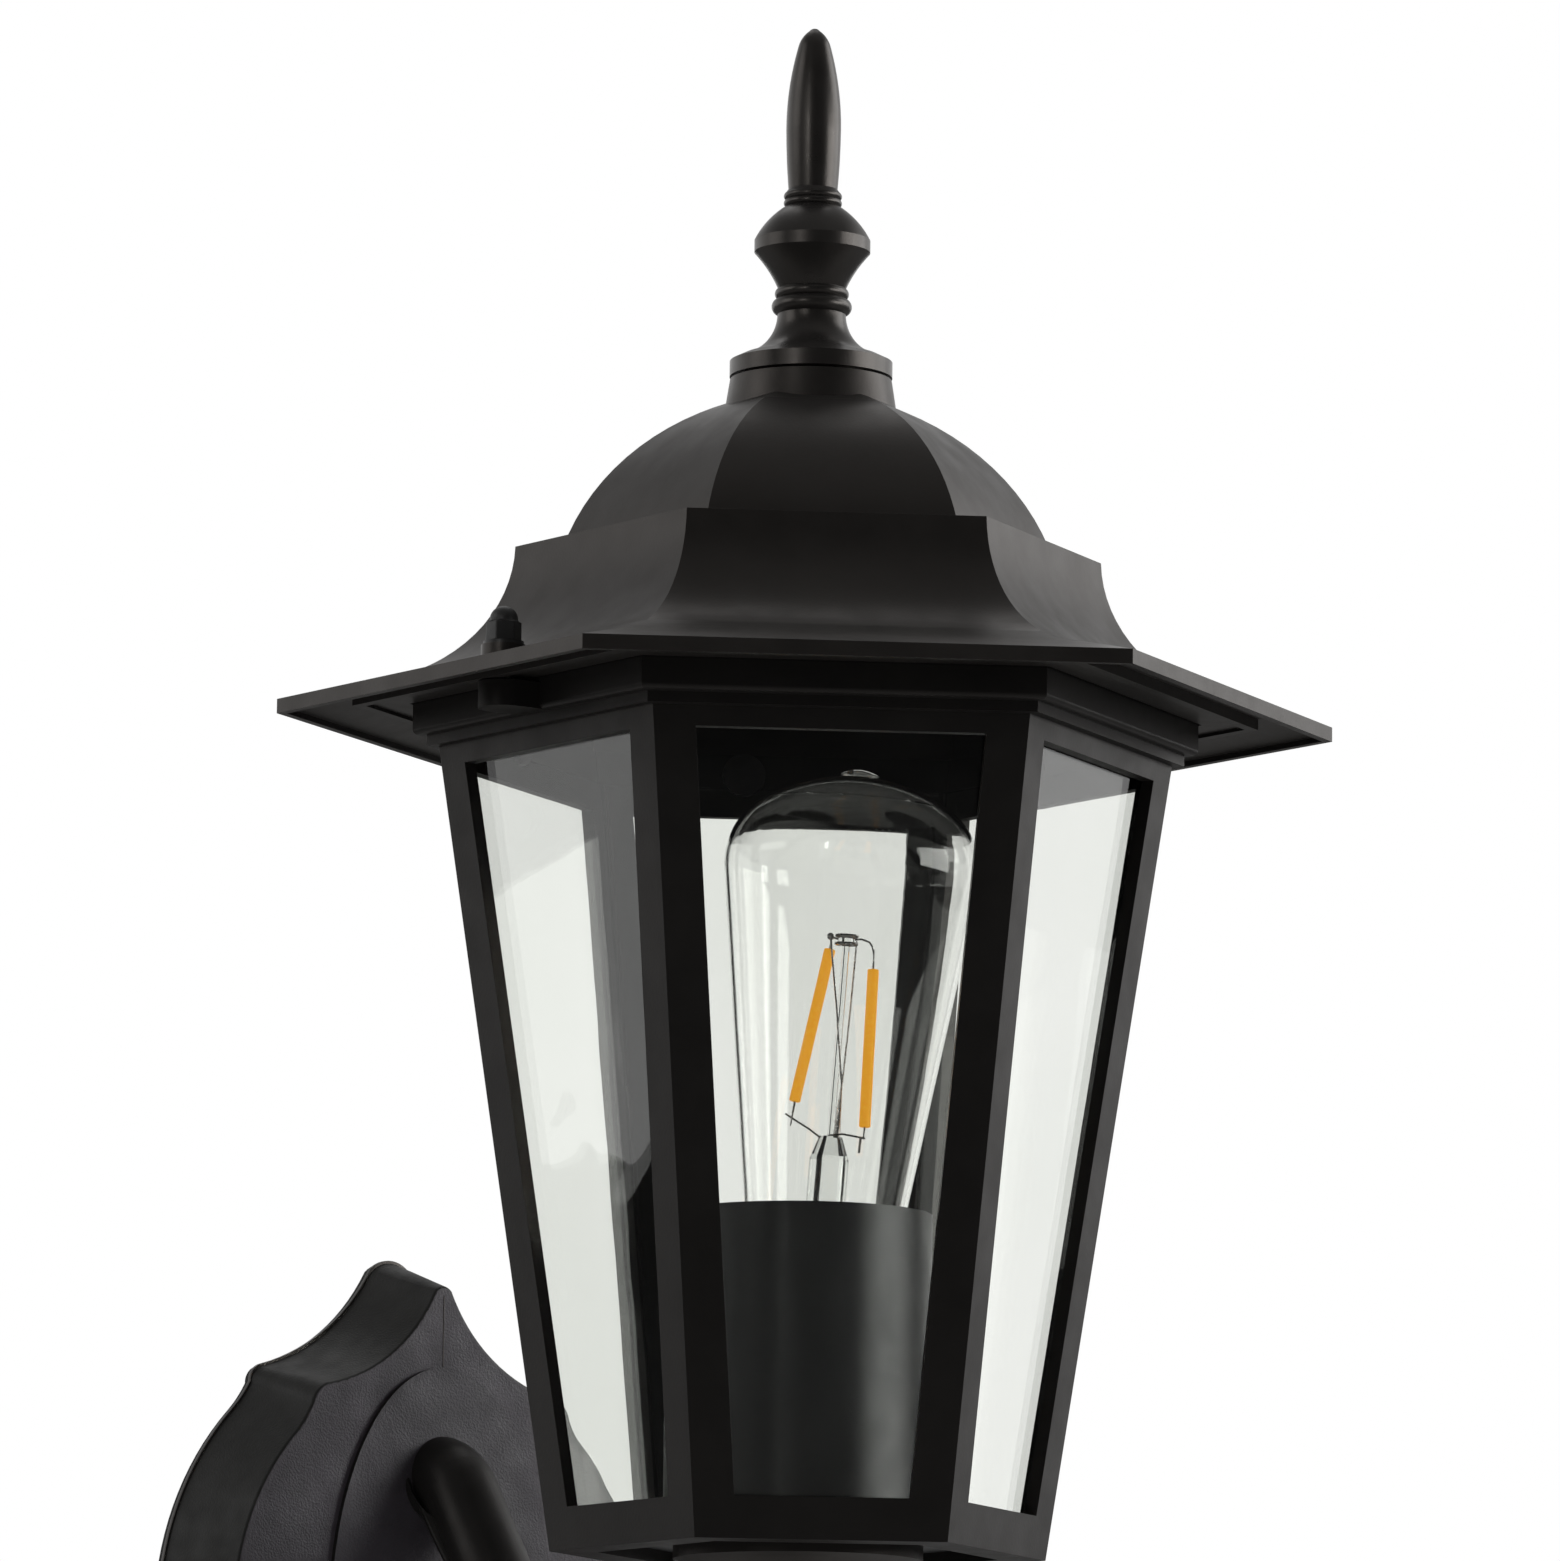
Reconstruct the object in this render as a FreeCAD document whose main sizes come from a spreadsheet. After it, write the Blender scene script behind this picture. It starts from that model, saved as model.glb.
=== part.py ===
import FreeCAD, Part
import math
import os
import Sketcher

# Hexagonal wall lantern on a curved arm. The wall is the plane y = 0, the lantern stands off it
# towards -y, and the origin is the middle of the wall plate. Lengths in millimetres, angles in degrees.
sizes = {
    # Where the lantern stands
    "axis_reach": 168.4,
    "eave_height": 195.0,
    # Play between pieces
    "running_gap": 0.05,
    "free_gap": 0.3,
    "overrun": 10.0,
    # Roof casting, heights above the lower edge of the brim
    "brim_overhang": 26.55,
    "brim_edge": 3.3,
    "brim_foot_overhang": 5.15,
    "brim_foot_rise": 8.6,
    "skirt_radius": 32.8,
    "skirt_run": 24.7,
    "shoulder_rise": 39.6,
    "shoulder_ledge": 9.3,
    "dome_radius": 53.0,
    "dome_top_flats": 33.0,
    "dome_rise": 74.0,
    "roof_wall": 2.0,
    "neck_foot_radius": 19.6,
    "neck_top_radius": 18.4,
    "neck_rise": 79.7,
    "neck_lip_radius": 15.0,
    "neck_lip": 0.6,
    "seat_setback": 3.3,
    "seat_width": 2.5,
    "ledge_setback": 14.7,
    "ledge_rise": 3.0,
    "ledge_gap": 0.65,
    "ridge_width": 2.7,
    "ridge_rise": 2.2,
    # Finial, heights above its flange
    "flange_radius": 18.5,
    "flange_tall": 3.6,
    "flare_radius": 15.6,
    "flare_rise": 5.0,
    "flare_curve": 10.0,
    "bead_foot_radius": 7.8,
    "bead_foot_rise": 14.6,
    "bead_top_rise": 18.2,
    "bead_curve": 1.88,
    "ring_curve": 1.4,
    "waist_radius": 7.7,
    "waist_rise": 20.6,
    "cove_curve": 30.0,
    "baluster_radius": 13.2,
    "baluster_foot_rise": 29.0,
    "baluster_top_rise": 31.8,
    "baluster_curve": 20.0,
    "collar_radius": 6.2,
    "collar_foot_rise": 39.6,
    "collar_top_rise": 42.8,
    "collar_curve": 0.95,
    "flame_foot_radius": 5.6,
    "flame_foot_rise": 43.6,
    "flame_radius": 6.25,
    "flame_belly_rise": 57.5,
    "flame_foot_curve": 180.0,
    "flame_top_curve": 72.0,
    "flame_shoulder_radius": 3.7,
    "flame_shoulder_rise": 76.8,
    "flame_tip_curve": 6.5,
    "flame_tip_radius": 1.2,
    "flame_tip_rise": 80.5,
    "finial_tall": 81.1,
    "finial_stud_radius": 3.0,
    "finial_stud_depth": 16.0,
    "finial_nut_flats": 10.0,
    "finial_nut_thick": 5.0,
    "finial_washer_radius": 7.0,
    "finial_washer_thick": 1.6,
    # Roof fixing: a stud and a cap nut at each side
    "stud_standoff": 6.1,
    "stud_radius": 2.0,
    "stud_depth": 4.5,
    "stud_hole_radius": 2.4,
    "stud_seat_radius": 5.0,
    "stud_seat_rise": 10.2,
    "lug_radius": 5.5,
    "lug_drop": 4.0,
    "cap_nut_flats": 7.0,
    "cap_nut_hex": 4.4,
    "cap_nut_tall": 8.0,
    "cap_nut_dome_radius": 3.2,
    "cap_nut_bore": 5.6,
    "nut_washer_radius": 4.5,
    "nut_washer_thick": 0.8,
    # Cage casting, heights and drops from the lower edge of the brim
    "cage_top_flats": 144.3,
    "cage_top_drop": 6.6,
    "cage_foot_flats": 96.6,
    "cage_foot_drop": 187.3,
    "cage_wall": 3.0,
    "step_proud": 2.4,
    "band_proud": 2.8,
    "band_top_rise": 4.0,
    "band_drop": 4.1,
    "band_round": 1.3,
    "post_face": 9.2,
    "window_top_drop": 11.2,
    "window_foot_drop": 177.9,
    "flange_thick": 3.0,
    "flange_opening_flats": 78.0,
    # Glass and its clips
    "pane_thick": 2.4,
    "pane_top_drop": 4.6,
    "pane_side_gap": 0.6,
    "clip_head_radius": 5.0,
    "clip_head_thick": 1.2,
    "clip_shank_radius": 2.3,
    "clip_drop": 1.7,
    "clip_offset": 7.6,
    # Floor of the cage and the sleeve on it
    "floor_flats": 84.0,
    "floor_thick": 2.0,
    "sleeve_radius": 29.3,
    "sleeve_wall": 1.4,
    "sleeve_tall": 71.7,
    # Lampholder, heights above the floor plate
    "lamp_heading": -36.0,
    "lamp_lean": 4.0,
    "bracket_span": 36.0,
    "bracket_width": 18.0,
    "bracket_rise": 16.0,
    "bracket_thick": 1.2,
    "nipple_radius": 5.0,
    "nipple_bore": 3.6,
    "nipple_proud": 8.0,
    "nipple_nut_flats": 14.0,
    "nipple_nut_thick": 3.5,
    "holder_radius": 19.5,
    "holder_tall": 41.0,
    "holder_floor": 12.0,
    "shell_wall": 0.6,
    "shell_tall": 27.0,
    "contact_strip_width": 5.0,
    "contact_strip_thick": 0.8,
    "contact_dimple_radius": 2.5,
    "contact_dimple_rise": 3.0,
    # Lamp, heights above its contact
    "lamp_contact_radius": 4.6,
    "lamp_contact_tall": 1.5,
    "lamp_insulator_foot": 7.0,
    "lamp_insulator_radius": 11.5,
    "lamp_insulator_rise": 5.5,
    "lamp_cap_radius": 13.2,
    "lamp_cap_rise": 29.0,
    "lamp_collar_radius": 14.8,
    "lamp_collar_tall": 2.5,
    "glass_wall": 0.9,
    "glass_neck_radius": 14.2,
    "glass_shoulder_radius": 17.6,
    "glass_shoulder_rise": 36.0,
    "glass_flare": 8.0,
    "glass_crown_curve": 16.5,
    "glass_crown_turn": 35.0,
    "glass_dome_curve": 38.3,
    "glass_dome_centre": 100.6,
    "glass_tip_radius": 5.4,
    "glass_tip_tall": 2.4,
    "stem_flare_radius": 11.0,
    "stem_flare_rise": 38.0,
    "stem_radius": 4.4,
    "stem_press_radius": 2.6,
    "stem_press_foot": 52.0,
    "stem_press_rise": 57.0,
    "stem_rod_radius": 0.8,
    "stem_bead_radius": 1.9,
    "stem_bead_foot": 100.6,
    "stem_bead_rise": 103.0,
    "filament_radius": 1.0,
    "wire_radius": 0.35,
    "wire_gap": 0.4,
    # Arm casting
    "foot_half_tall": 59.6,
    "foot_half_wide": 31.2,
    "foot_proud": 1.3,
    "arm_radius": 9.2,
    "arm_bore": 6.0,
    "arm_bend": 44.2,
    "arm_root_bend": 14.0,
    "arm_root_rise": 34.6,
    "arm_root_depth": 2.74,
    "arm_end_drop": 215.0,
    "shoulder_tall": 3.0,
    "spigot_radius": 5.0,
    "spigot_bore": 3.5,
    "spigot_proud": 2.0,
    "arm_post_radius": 4.5,
    "arm_post_reach": 18.0,
    "arm_post_drop": 30.0,
    "arm_screw_radius": 2.0,
    "arm_screw_head_radius": 6.5,
    "arm_screw_head_thick": 2.6,
    # Base cup under the floor, and the nut that draws the arm up
    "cup_foot_radius": 12.0,
    "cup_foot_tall": 5.0,
    "cup_rim_radius": 28.0,
    "cup_rim_tall": 4.0,
    "cup_curve": 30.0,
    "cup_wall": 2.6,
    "lock_washer_radius": 10.5,
    "lock_washer_thick": 1.6,
    "lock_nut_flats": 17.0,
    "lock_nut_thick": 5.0,
    # Wall plate
    "plate_front": 25.9,
    "plate_wall": 3.0,
    "plate_edge": 0.8,
    "plate_rear_edge": 0.5,
    "front_peak": 77.7,
    "front_peak_half": 2.4,
    "front_peak_curve": 3.1,
    "front_cove": 41.5,
    "front_ear_top_wide": 32.3,
    "front_ear_top_rise": 54.2,
    "front_ear_curve": 7.0,
    "front_ear_foot_wide": 36.4,
    "front_ear_foot_rise": 49.4,
    "front_scoop": 30.0,
    "front_side_wide": 40.4,
    "front_side_rise": 42.8,
    "front_side": 62.6,
    "rear_peak": 84.1,
    "rear_peak_half": 5.3,
    "rear_peak_curve": 7.3,
    "rear_cove": 49.4,
    "rear_ear_top_wide": 35.4,
    "rear_ear_top_rise": 59.9,
    "rear_ear_curve": 4.2,
    "rear_ear_foot_wide": 38.7,
    "rear_ear_foot_rise": 55.6,
    "rear_scoop": 30.0,
    "rear_side_wide": 43.4,
    "rear_side_rise": 49.0,
    "rear_side": 71.3,
    "hollow_peak_inset": 7.2,
    "hollow_inset": 3.6,
    "hollow_peak_half": 4.0,
    "hollow_peak_curve": 5.0,
    "hollow_shoulder_inset": 6.5,
    "wire_hole_radius": 9.0,
    # Gasket, mounting bar and what it carries
    "gasket_thick": 1.8,
    "gasket_setback": 0.2,
    "bar_end_gap": 1.2,
    "bar_tall": 20.0,
    "bar_thick": 2.0,
    "bar_hole_radius": 2.6,
    "bar_hole_reach": 31.0,
    "bar_stud_inset": 6.0,
    "block_length": 34.0,
    "block_tall": 15.0,
    "block_deep": 13.0,
    "block_chamfer": 1.5,
    "block_pitch": 10.0,
    "block_screw_hole": 2.1,
    "block_wire_hole": 1.8,
    "earth_screw_reach": 21.5,
    "earth_screw_head_radius": 3.4,
    "earth_screw_head_thick": 2.4,
}

# Where each filament starts and ends, across and towards the front of the lamp, above its contact
filament_ends = {
    "left_top": (-3.6, 3.0, 99.8),
    "left_foot": (-8.8, 1.0, 64.5),
    "right_top": (6.5, -1.0, 95.5),
    "right_foot": (7.4, -3.0, 59.5),
}
for spot, place in filament_ends.items():
    for axis, length in zip("xyz", place):
        sizes["filament_%s_%s" % (spot, axis)] = length

doc = FreeCAD.newDocument("wall_lantern")
dim = doc.addObject("Spreadsheet::Sheet", "dim")
for row, (alias, length) in enumerate(sizes.items(), start=1):
    dim.set("A%d" % row, alias)
    dim.set("B%d" % row, str(length))
    dim.setAlias("B%d" % row, alias)
doc.recompute()


def number(expression):
    return float(dim.evalExpression(expression))


# Frames of the sub-assemblies
floor_top = "(dim.flange_thick + dim.floor_thick - dim.cage_foot_drop)"
at_wall = "placement(vector(0; 0; 0); rotation(0; 0; 0))"
at_lantern = "placement(vector(0; -dim.axis_reach; dim.eave_height); rotation(0; 0; 0))"
at_lamp = ("placement(vector(0; -dim.axis_reach; dim.eave_height + %s); "
           "rotation(dim.lamp_heading; dim.lamp_lean; 0))" % floor_top)

# Sizes that follow from others
step_flats = "(dim.cage_top_flats + 2 * dim.step_proud)"
band_flats = "(dim.cage_top_flats + 2 * dim.step_proud + 2 * dim.band_proud)"
stud_reach = "(%s / 2 + dim.stud_standoff)" % band_flats
brim_flats = "(%s + 2 * dim.brim_overhang)" % band_flats
brim_foot_flats = "(%s + 2 * dim.brim_foot_overhang)" % band_flats
shoulder_flats = "(%s - 2 * dim.skirt_run)" % brim_foot_flats
dome_flats = "(%s - 2 * dim.shoulder_ledge)" % shoulder_flats
ledge_flats = "(%s - 2 * dim.ledge_setback)" % brim_flats
lug_top = "(dim.ridge_rise - dim.free_gap)"
hollow_side = "(dim.front_side - dim.hollow_inset)"
hollow_rise = "(dim.front_ear_top_rise - dim.hollow_shoulder_inset)"
side_centre = "(dim.front_side_wide - sqrt(dim.front_side^2 - dim.front_side_rise^2))"
hollow_wide = "(%s + sqrt(%s^2 - %s^2))" % (side_centre, hollow_side, hollow_rise)
bar_half = "(%s + %s - dim.bar_end_gap)" % (side_centre, hollow_side)
plate_stud_reach = "(%s - dim.bar_stud_inset)" % bar_half

nodes = {}


def keep(label, shape, frame):
    shape.Label = label
    shape.setExpression("Placement", frame)
    nodes[label] = shape


# Sketches: an outline is a list of corners, and a corner that also names a turn and a radius
# starts an arc to the next corner
def add_arc(sketch, start, end, turn, radius):
    chord = end - start
    size = number(radius)
    left = FreeCAD.Vector(-chord.y, chord.x, 0).normalize()
    rise = math.sqrt(size * size - chord.Length ** 2 / 4)
    middle = start + chord * 0.5 + left * (rise if turn == "left" else -rise)
    first, last = (start, end) if turn == "left" else (end, start)
    angles = [math.atan2(spot.y - middle.y, spot.x - middle.x) for spot in (first, last)]
    if angles[1] < angles[0]:
        angles[1] += 2 * math.pi
    circle = Part.Circle(middle, FreeCAD.Vector(0, 0, 1), size)
    edge = sketch.addGeometry(Part.ArcOfCircle(circle, angles[0], angles[1]))
    return (edge, 1, 2) if turn == "left" else (edge, 2, 1)


def pin(sketch, kind, axis, edge, point, expression):
    if expression == "0":
        sketch.addConstraint(Sketcher.Constraint("PointOnObject", edge, point, axis))
        return
    index = sketch.addConstraint(Sketcher.Constraint(kind, -1, 1, edge, point, number(expression)))
    sketch.setExpression("Constraints[%d]" % index, expression)


def set_radius(sketch, edge, expression):
    index = sketch.addConstraint(Sketcher.Constraint("Radius", edge, number(expression)))
    sketch.setExpression("Constraints[%d]" % index, expression)


def trace(sketch, outline, closed=True):
    spots = [FreeCAD.Vector(number(corner[0]), number(corner[1]), 0) for corner in outline]
    ends = []
    for place, corner in enumerate(outline if closed else outline[:-1]):
        start = spots[place]
        end = spots[(place + 1) % len(spots)]
        if len(corner) == 2:
            ends.append((sketch.addGeometry(Part.LineSegment(start, end)), 1, 2))
        else:
            ends.append(add_arc(sketch, start, end, corner[2], corner[3]))
    for place, (edge, first, last) in enumerate(ends):
        pin(sketch, "DistanceX", -2, edge, first, outline[place][0])
        pin(sketch, "DistanceY", -1, edge, first, outline[place][1])
        if closed or place + 1 < len(ends):
            following, joint, rest = ends[(place + 1) % len(ends)]
            sketch.addConstraint(Sketcher.Constraint("Coincident", edge, last, following, joint))
        else:
            pin(sketch, "DistanceX", -2, edge, last, outline[-1][0])
            pin(sketch, "DistanceY", -1, edge, last, outline[-1][1])
        if len(outline[place]) > 2:
            set_radius(sketch, edge, outline[place][3])


def origin_of(body):
    return {feature.Role: feature for feature in body.Origin.OriginFeatures}


def new_sketch(body, name, plane, lift="0"):
    sketch = body.newObject("Sketcher::SketchObject", name)
    sketch.AttachmentSupport = (origin_of(body)[plane], [""])
    sketch.MapMode = "FlatFace"
    sketch.setExpression("AttachmentOffset.Base.z", lift)
    return sketch


def draw(body, name, plane, outlines, lift="0", closed=True):
    sketch = new_sketch(body, name, plane, lift)
    for outline in outlines:
        trace(sketch, outline, closed)
    return sketch


def draw_circle(body, name, plane, across, along, radius, lift="0"):
    sketch = new_sketch(body, name, plane, lift)
    spot = FreeCAD.Vector(number(across), number(along), 0)
    edge = sketch.addGeometry(Part.Circle(spot, FreeCAD.Vector(0, 0, 1), number(radius)))
    pin(sketch, "DistanceX", -2, edge, 3, across)
    pin(sketch, "DistanceY", -1, edge, 3, along)
    set_radius(sketch, edge, radius)
    return sketch


# Features
def new_body(name):
    return doc.addObject("PartDesign::Body", name)


def extrude(body, kind, sketch, length, symmetric=False, backwards=False):
    feature = body.newObject("PartDesign::" + kind, sketch.Name + "_" + kind.lower())
    feature.Profile = sketch
    feature.setExpression("Length", length)
    feature.SideType = "Symmetric" if symmetric else "One side"
    feature.Reversed = backwards
    return feature


def turned(name, outline):
    body = new_body(name)
    sketch = draw(body, name + "_profile", "XZ_Plane", [outline])
    feature = body.newObject("PartDesign::Revolution", name + "_turned")
    feature.Profile = sketch
    feature.ReferenceAxis = (sketch, ["V_Axis"])
    feature.Angle = 360
    return body


def six_times(body, features):
    pattern = body.newObject("PartDesign::PolarPattern", features[-1].Name + "_six")
    pattern.Originals = features
    pattern.Axis = (origin_of(body)["Z_Axis"], [""])
    pattern.Angle = 360
    pattern.Occurrences = 6
    body.Tip = pattern


def hexagon(flats):
    half = "(%s) / 2" % flats
    side = "(%s) / 2 * tan(30)" % flats
    tip = "(%s) / 2 / cos(30)" % flats
    return [(half, side), ("0", tip), ("-" + half, side),
            ("-" + half, "-" + side), ("0", "-" + tip), (half, "-" + side)]


def hex_form(name, flats, foot, tall, outside):
    body = new_body(name)
    block = draw(body, name + "_hexagon", "XY_Plane", [hexagon(flats)], foot)
    extrude(body, "Pad", block, tall)
    waste = draw(body, name + "_outside", "XZ_Plane", [outside])
    cut = extrude(body, "Pocket", waste, "2 * (%s)" % flats, symmetric=True)
    six_times(body, [cut])
    return body


def move(shape, x="0", y="0", z="0", turn="0; 0; 0"):
    shape.setExpression("Placement", "placement(vector(%s; %s; %s); rotation(%s))" % (x, y, z, turn))
    return shape


def cylinder(name, radius, tall, x="0", y="0", z="0", turn="0; 0; 0"):
    shape = doc.addObject("Part::Cylinder", name)
    shape.setExpression("Radius", radius)
    shape.setExpression("Height", tall)
    return move(shape, x, y, z, turn)


def hex_prism(name, flats, tall, z="0"):
    shape = doc.addObject("Part::Prism", name)
    shape.Polygon = 6
    shape.setExpression("Circumradius", "(%s) / 2 / cos(30)" % flats)
    shape.setExpression("Height", tall)
    return move(shape, z=z, turn="30; 0; 0")


def box(name, long, wide, tall, x="0", y="0", z="0", turn="0; 0; 0"):
    shape = doc.addObject("Part::Box", name)
    for side, length in (("Length", long), ("Width", wide), ("Height", tall)):
        shape.setExpression(side, length)
    return move(shape, x, y, z, turn)


def fuse(name, shapes):
    result = doc.addObject("Part::MultiFuse", name)
    result.Shapes = shapes
    result.Refine = True
    return result


def common(name, shapes):
    result = doc.addObject("Part::MultiCommon", name)
    result.Shapes = shapes
    return result


def cut(name, base, tools):
    result = doc.addObject("Part::Cut", name)
    result.Base = base
    result.Tool = tools[0] if len(tools) == 1 else fuse(name + "_tools", tools)
    return result


def group(name, shapes):
    result = doc.addObject("Part::Compound", name)
    result.Links = shapes
    return result


def tube(name, radius, bore, tall, z="0"):
    outer = cylinder(name + "_outer", radius, tall, z=z)
    inner = cylinder(name + "_inner", bore, tall, z=z)
    return cut(name, outer, [inner])


def hex_nut(name, flats, bore, thick, z):
    blank = hex_prism(name + "_blank", flats, thick, z)
    hole = cylinder(name + "_hole", bore, thick, z=z)
    return cut(name, blank, [hole])


# Roof casting: outer form less its hollow, with the seat, the brim's ledge and ridge, the neck and stud seats
def make_roof():
    over = "dim.dome_rise + dim.overrun"
    outer = hex_form("roof_outer", brim_flats, "0", "dim.dome_rise", [
        (brim_flats + " / 2", "dim.brim_edge"),
        (brim_foot_flats + " / 2", "dim.brim_foot_rise", "right", "dim.skirt_radius"),
        (shoulder_flats + " / 2", "dim.shoulder_rise"),
        (dome_flats + " / 2", "dim.shoulder_rise", "left", "dim.dome_radius"),
        ("dim.dome_top_flats / 2", "dim.dome_rise"),
        ("dim.dome_top_flats / 2", over),
        (brim_flats, over),
        (brim_flats, "dim.brim_edge"),
    ])
    hollow_flats = brim_flats + " - 2 * dim.roof_wall"
    ledge = "dim.shoulder_rise - dim.roof_wall"
    hollow = hex_form("roof_hollow", hollow_flats, "-dim.overrun",
                      "dim.dome_rise - dim.roof_wall + dim.overrun", [
        (brim_flats + " / 2 - dim.roof_wall", "dim.brim_edge - dim.roof_wall"),
        (brim_foot_flats + " / 2", "dim.brim_foot_rise - dim.roof_wall",
         "right", "dim.skirt_radius + dim.roof_wall"),
        (shoulder_flats + " / 2 - dim.roof_wall", ledge),
        (dome_flats + " / 2 - dim.roof_wall", ledge, "left", "dim.dome_radius - dim.roof_wall"),
        ("dim.dome_top_flats / 2", "dim.dome_rise - dim.roof_wall"),
        ("dim.dome_top_flats / 2", over),
        (brim_flats, over),
        (brim_flats, "dim.brim_edge - dim.roof_wall"),
    ])
    shell = cut("roof_shell", outer, [hollow])

    def rib(name, flats, width, foot):
        outside = hex_prism(name + "_outside", flats, "dim.shoulder_rise", foot)
        inside = hex_prism(name + "_inside", "%s - 2 * %s" % (flats, width), "dim.shoulder_rise", foot)
        return common(name, [cut(name + "_ring", outside, [inside]), outer])

    seat = rib("roof_seat", band_flats + " - 2 * dim.seat_setback", "dim.seat_width", "dim.band_top_rise")
    ledge_width = "((%s - %s) / 2 - dim.ledge_gap)" % (ledge_flats, band_flats)
    brim_ledge = rib("roof_ledge", ledge_flats, ledge_width, "dim.ledge_rise")
    ridge = rib("roof_ridge", ledge_flats, "dim.ridge_width", "dim.ridge_rise")
    neck = turned("roof_neck", [
        ("0", "dim.dome_rise - dim.roof_wall"),
        ("dim.neck_foot_radius", "dim.dome_rise - dim.roof_wall"),
        ("dim.neck_top_radius", "dim.neck_rise"),
        ("dim.neck_lip_radius", "dim.neck_rise"),
        ("dim.neck_lip_radius", "dim.neck_rise + dim.neck_lip"),
        ("0", "dim.neck_rise + dim.neck_lip"),
    ])
    solids = [shell, seat, brim_ledge, ridge, neck]
    holes = [cylinder("finial_stud_hole", "dim.finial_stud_radius + dim.free_gap", "dim.neck_rise")]
    for side, reach in (("left", "-" + stud_reach), ("right", stud_reach)):
        solids.append(cylinder("stud_seat_" + side, "dim.stud_seat_radius",
                               "dim.stud_seat_rise - dim.ledge_rise", x=reach, z="dim.ledge_rise"))
        holes.append(cylinder("stud_hole_" + side, "dim.stud_hole_radius", "dim.shoulder_rise", x=reach))
    holes[0].setExpression("Height", "dim.neck_rise + dim.overrun")
    keep("roof_casting", cut("roof_casting", fuse("roof_solids", solids), holes), at_lantern)


# Finial on its stud, with the washer and nut under the dome
def make_finial():
    hole = "dim.finial_stud_radius + dim.running_gap"
    finial = turned("finial", [
        (hole, "0"),
        ("dim.flange_radius", "0"),
        ("dim.flange_radius", "dim.flange_tall"),
        ("dim.flare_radius", "dim.flare_rise", "right", "dim.flare_curve"),
        ("dim.bead_foot_radius", "dim.bead_foot_rise", "left", "dim.bead_curve"),
        ("dim.bead_foot_radius", "dim.bead_top_rise", "left", "dim.ring_curve"),
        ("dim.waist_radius", "dim.waist_rise", "right", "dim.cove_curve"),
        ("dim.baluster_radius", "dim.baluster_foot_rise"),
        ("dim.baluster_radius", "dim.baluster_top_rise", "left", "dim.baluster_curve"),
        ("dim.collar_radius", "dim.collar_foot_rise", "left", "dim.collar_curve"),
        ("dim.collar_radius", "(dim.collar_foot_rise + dim.collar_top_rise) / 2",
         "left", "dim.collar_curve"),
        ("dim.collar_radius", "dim.collar_top_rise"),
        ("dim.flame_foot_radius", "dim.flame_foot_rise", "left", "dim.flame_foot_curve"),
        ("dim.flame_radius", "dim.flame_belly_rise", "left", "dim.flame_top_curve"),
        ("dim.flame_shoulder_radius", "dim.flame_shoulder_rise", "left", "dim.flame_tip_curve"),
        ("dim.flame_tip_radius", "dim.flame_tip_rise", "left",
         "(dim.flame_tip_radius^2 + (dim.finial_tall - dim.flame_tip_rise)^2)"
         " / (2 * (dim.finial_tall - dim.flame_tip_rise))"),
        ("0", "dim.finial_tall"),
        ("0", "dim.finial_stud_depth"),
        (hole, "dim.finial_stud_depth"),
    ])
    keep("finial", finial, at_lantern
         + " * placement(vector(0; 0; dim.neck_rise + dim.neck_lip); rotation(0; 0; 0))")
    under = "dim.dome_rise - dim.roof_wall"
    washer_foot = under + " - dim.finial_washer_thick"
    nut_foot = washer_foot + " - dim.finial_nut_thick"
    stud_foot = nut_foot + " - dim.finial_stud_radius"
    stud_top = "dim.neck_rise + dim.neck_lip + dim.finial_stud_depth"
    bore = "dim.finial_stud_radius + dim.running_gap"
    keep("finial_stud", cylinder("finial_stud", "dim.finial_stud_radius",
                                 "%s - (%s)" % (stud_top, stud_foot)),
         at_lantern + " * placement(vector(0; 0; %s); rotation(0; 0; 0))" % stud_foot)
    keep("finial_washer", tube("finial_washer", "dim.finial_washer_radius", bore,
                               "dim.finial_washer_thick", washer_foot), at_lantern)
    keep("finial_nut", hex_nut("finial_nut", "dim.finial_nut_flats", bore,
                               "dim.finial_nut_thick", nut_foot), at_lantern)


# Cap nut: hexagon, dome and a blind bore from below
def cap_nut(name):
    body = new_body(name)
    extrude(body, "Pad", draw(body, name + "_hexagon", "XY_Plane", [hexagon("dim.cap_nut_flats")]),
            "dim.cap_nut_hex")
    dome = draw(body, name + "_dome", "XZ_Plane", [[
        ("0", "0"),
        ("dim.cap_nut_dome_radius", "0"),
        ("dim.cap_nut_dome_radius", "dim.cap_nut_tall - dim.cap_nut_dome_radius",
         "left", "dim.cap_nut_dome_radius"),
        ("0", "dim.cap_nut_tall"),
    ]])
    cap = body.newObject("PartDesign::Revolution", name + "_cap")
    cap.Profile = dome
    cap.ReferenceAxis = (dome, ["V_Axis"])
    cap.Angle = 360
    bore = draw_circle(body, name + "_bore", "XY_Plane", "0", "0", "dim.stud_radius + dim.running_gap")
    extrude(body, "Pocket", bore, "dim.cap_nut_bore", backwards=True)
    return body


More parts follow.
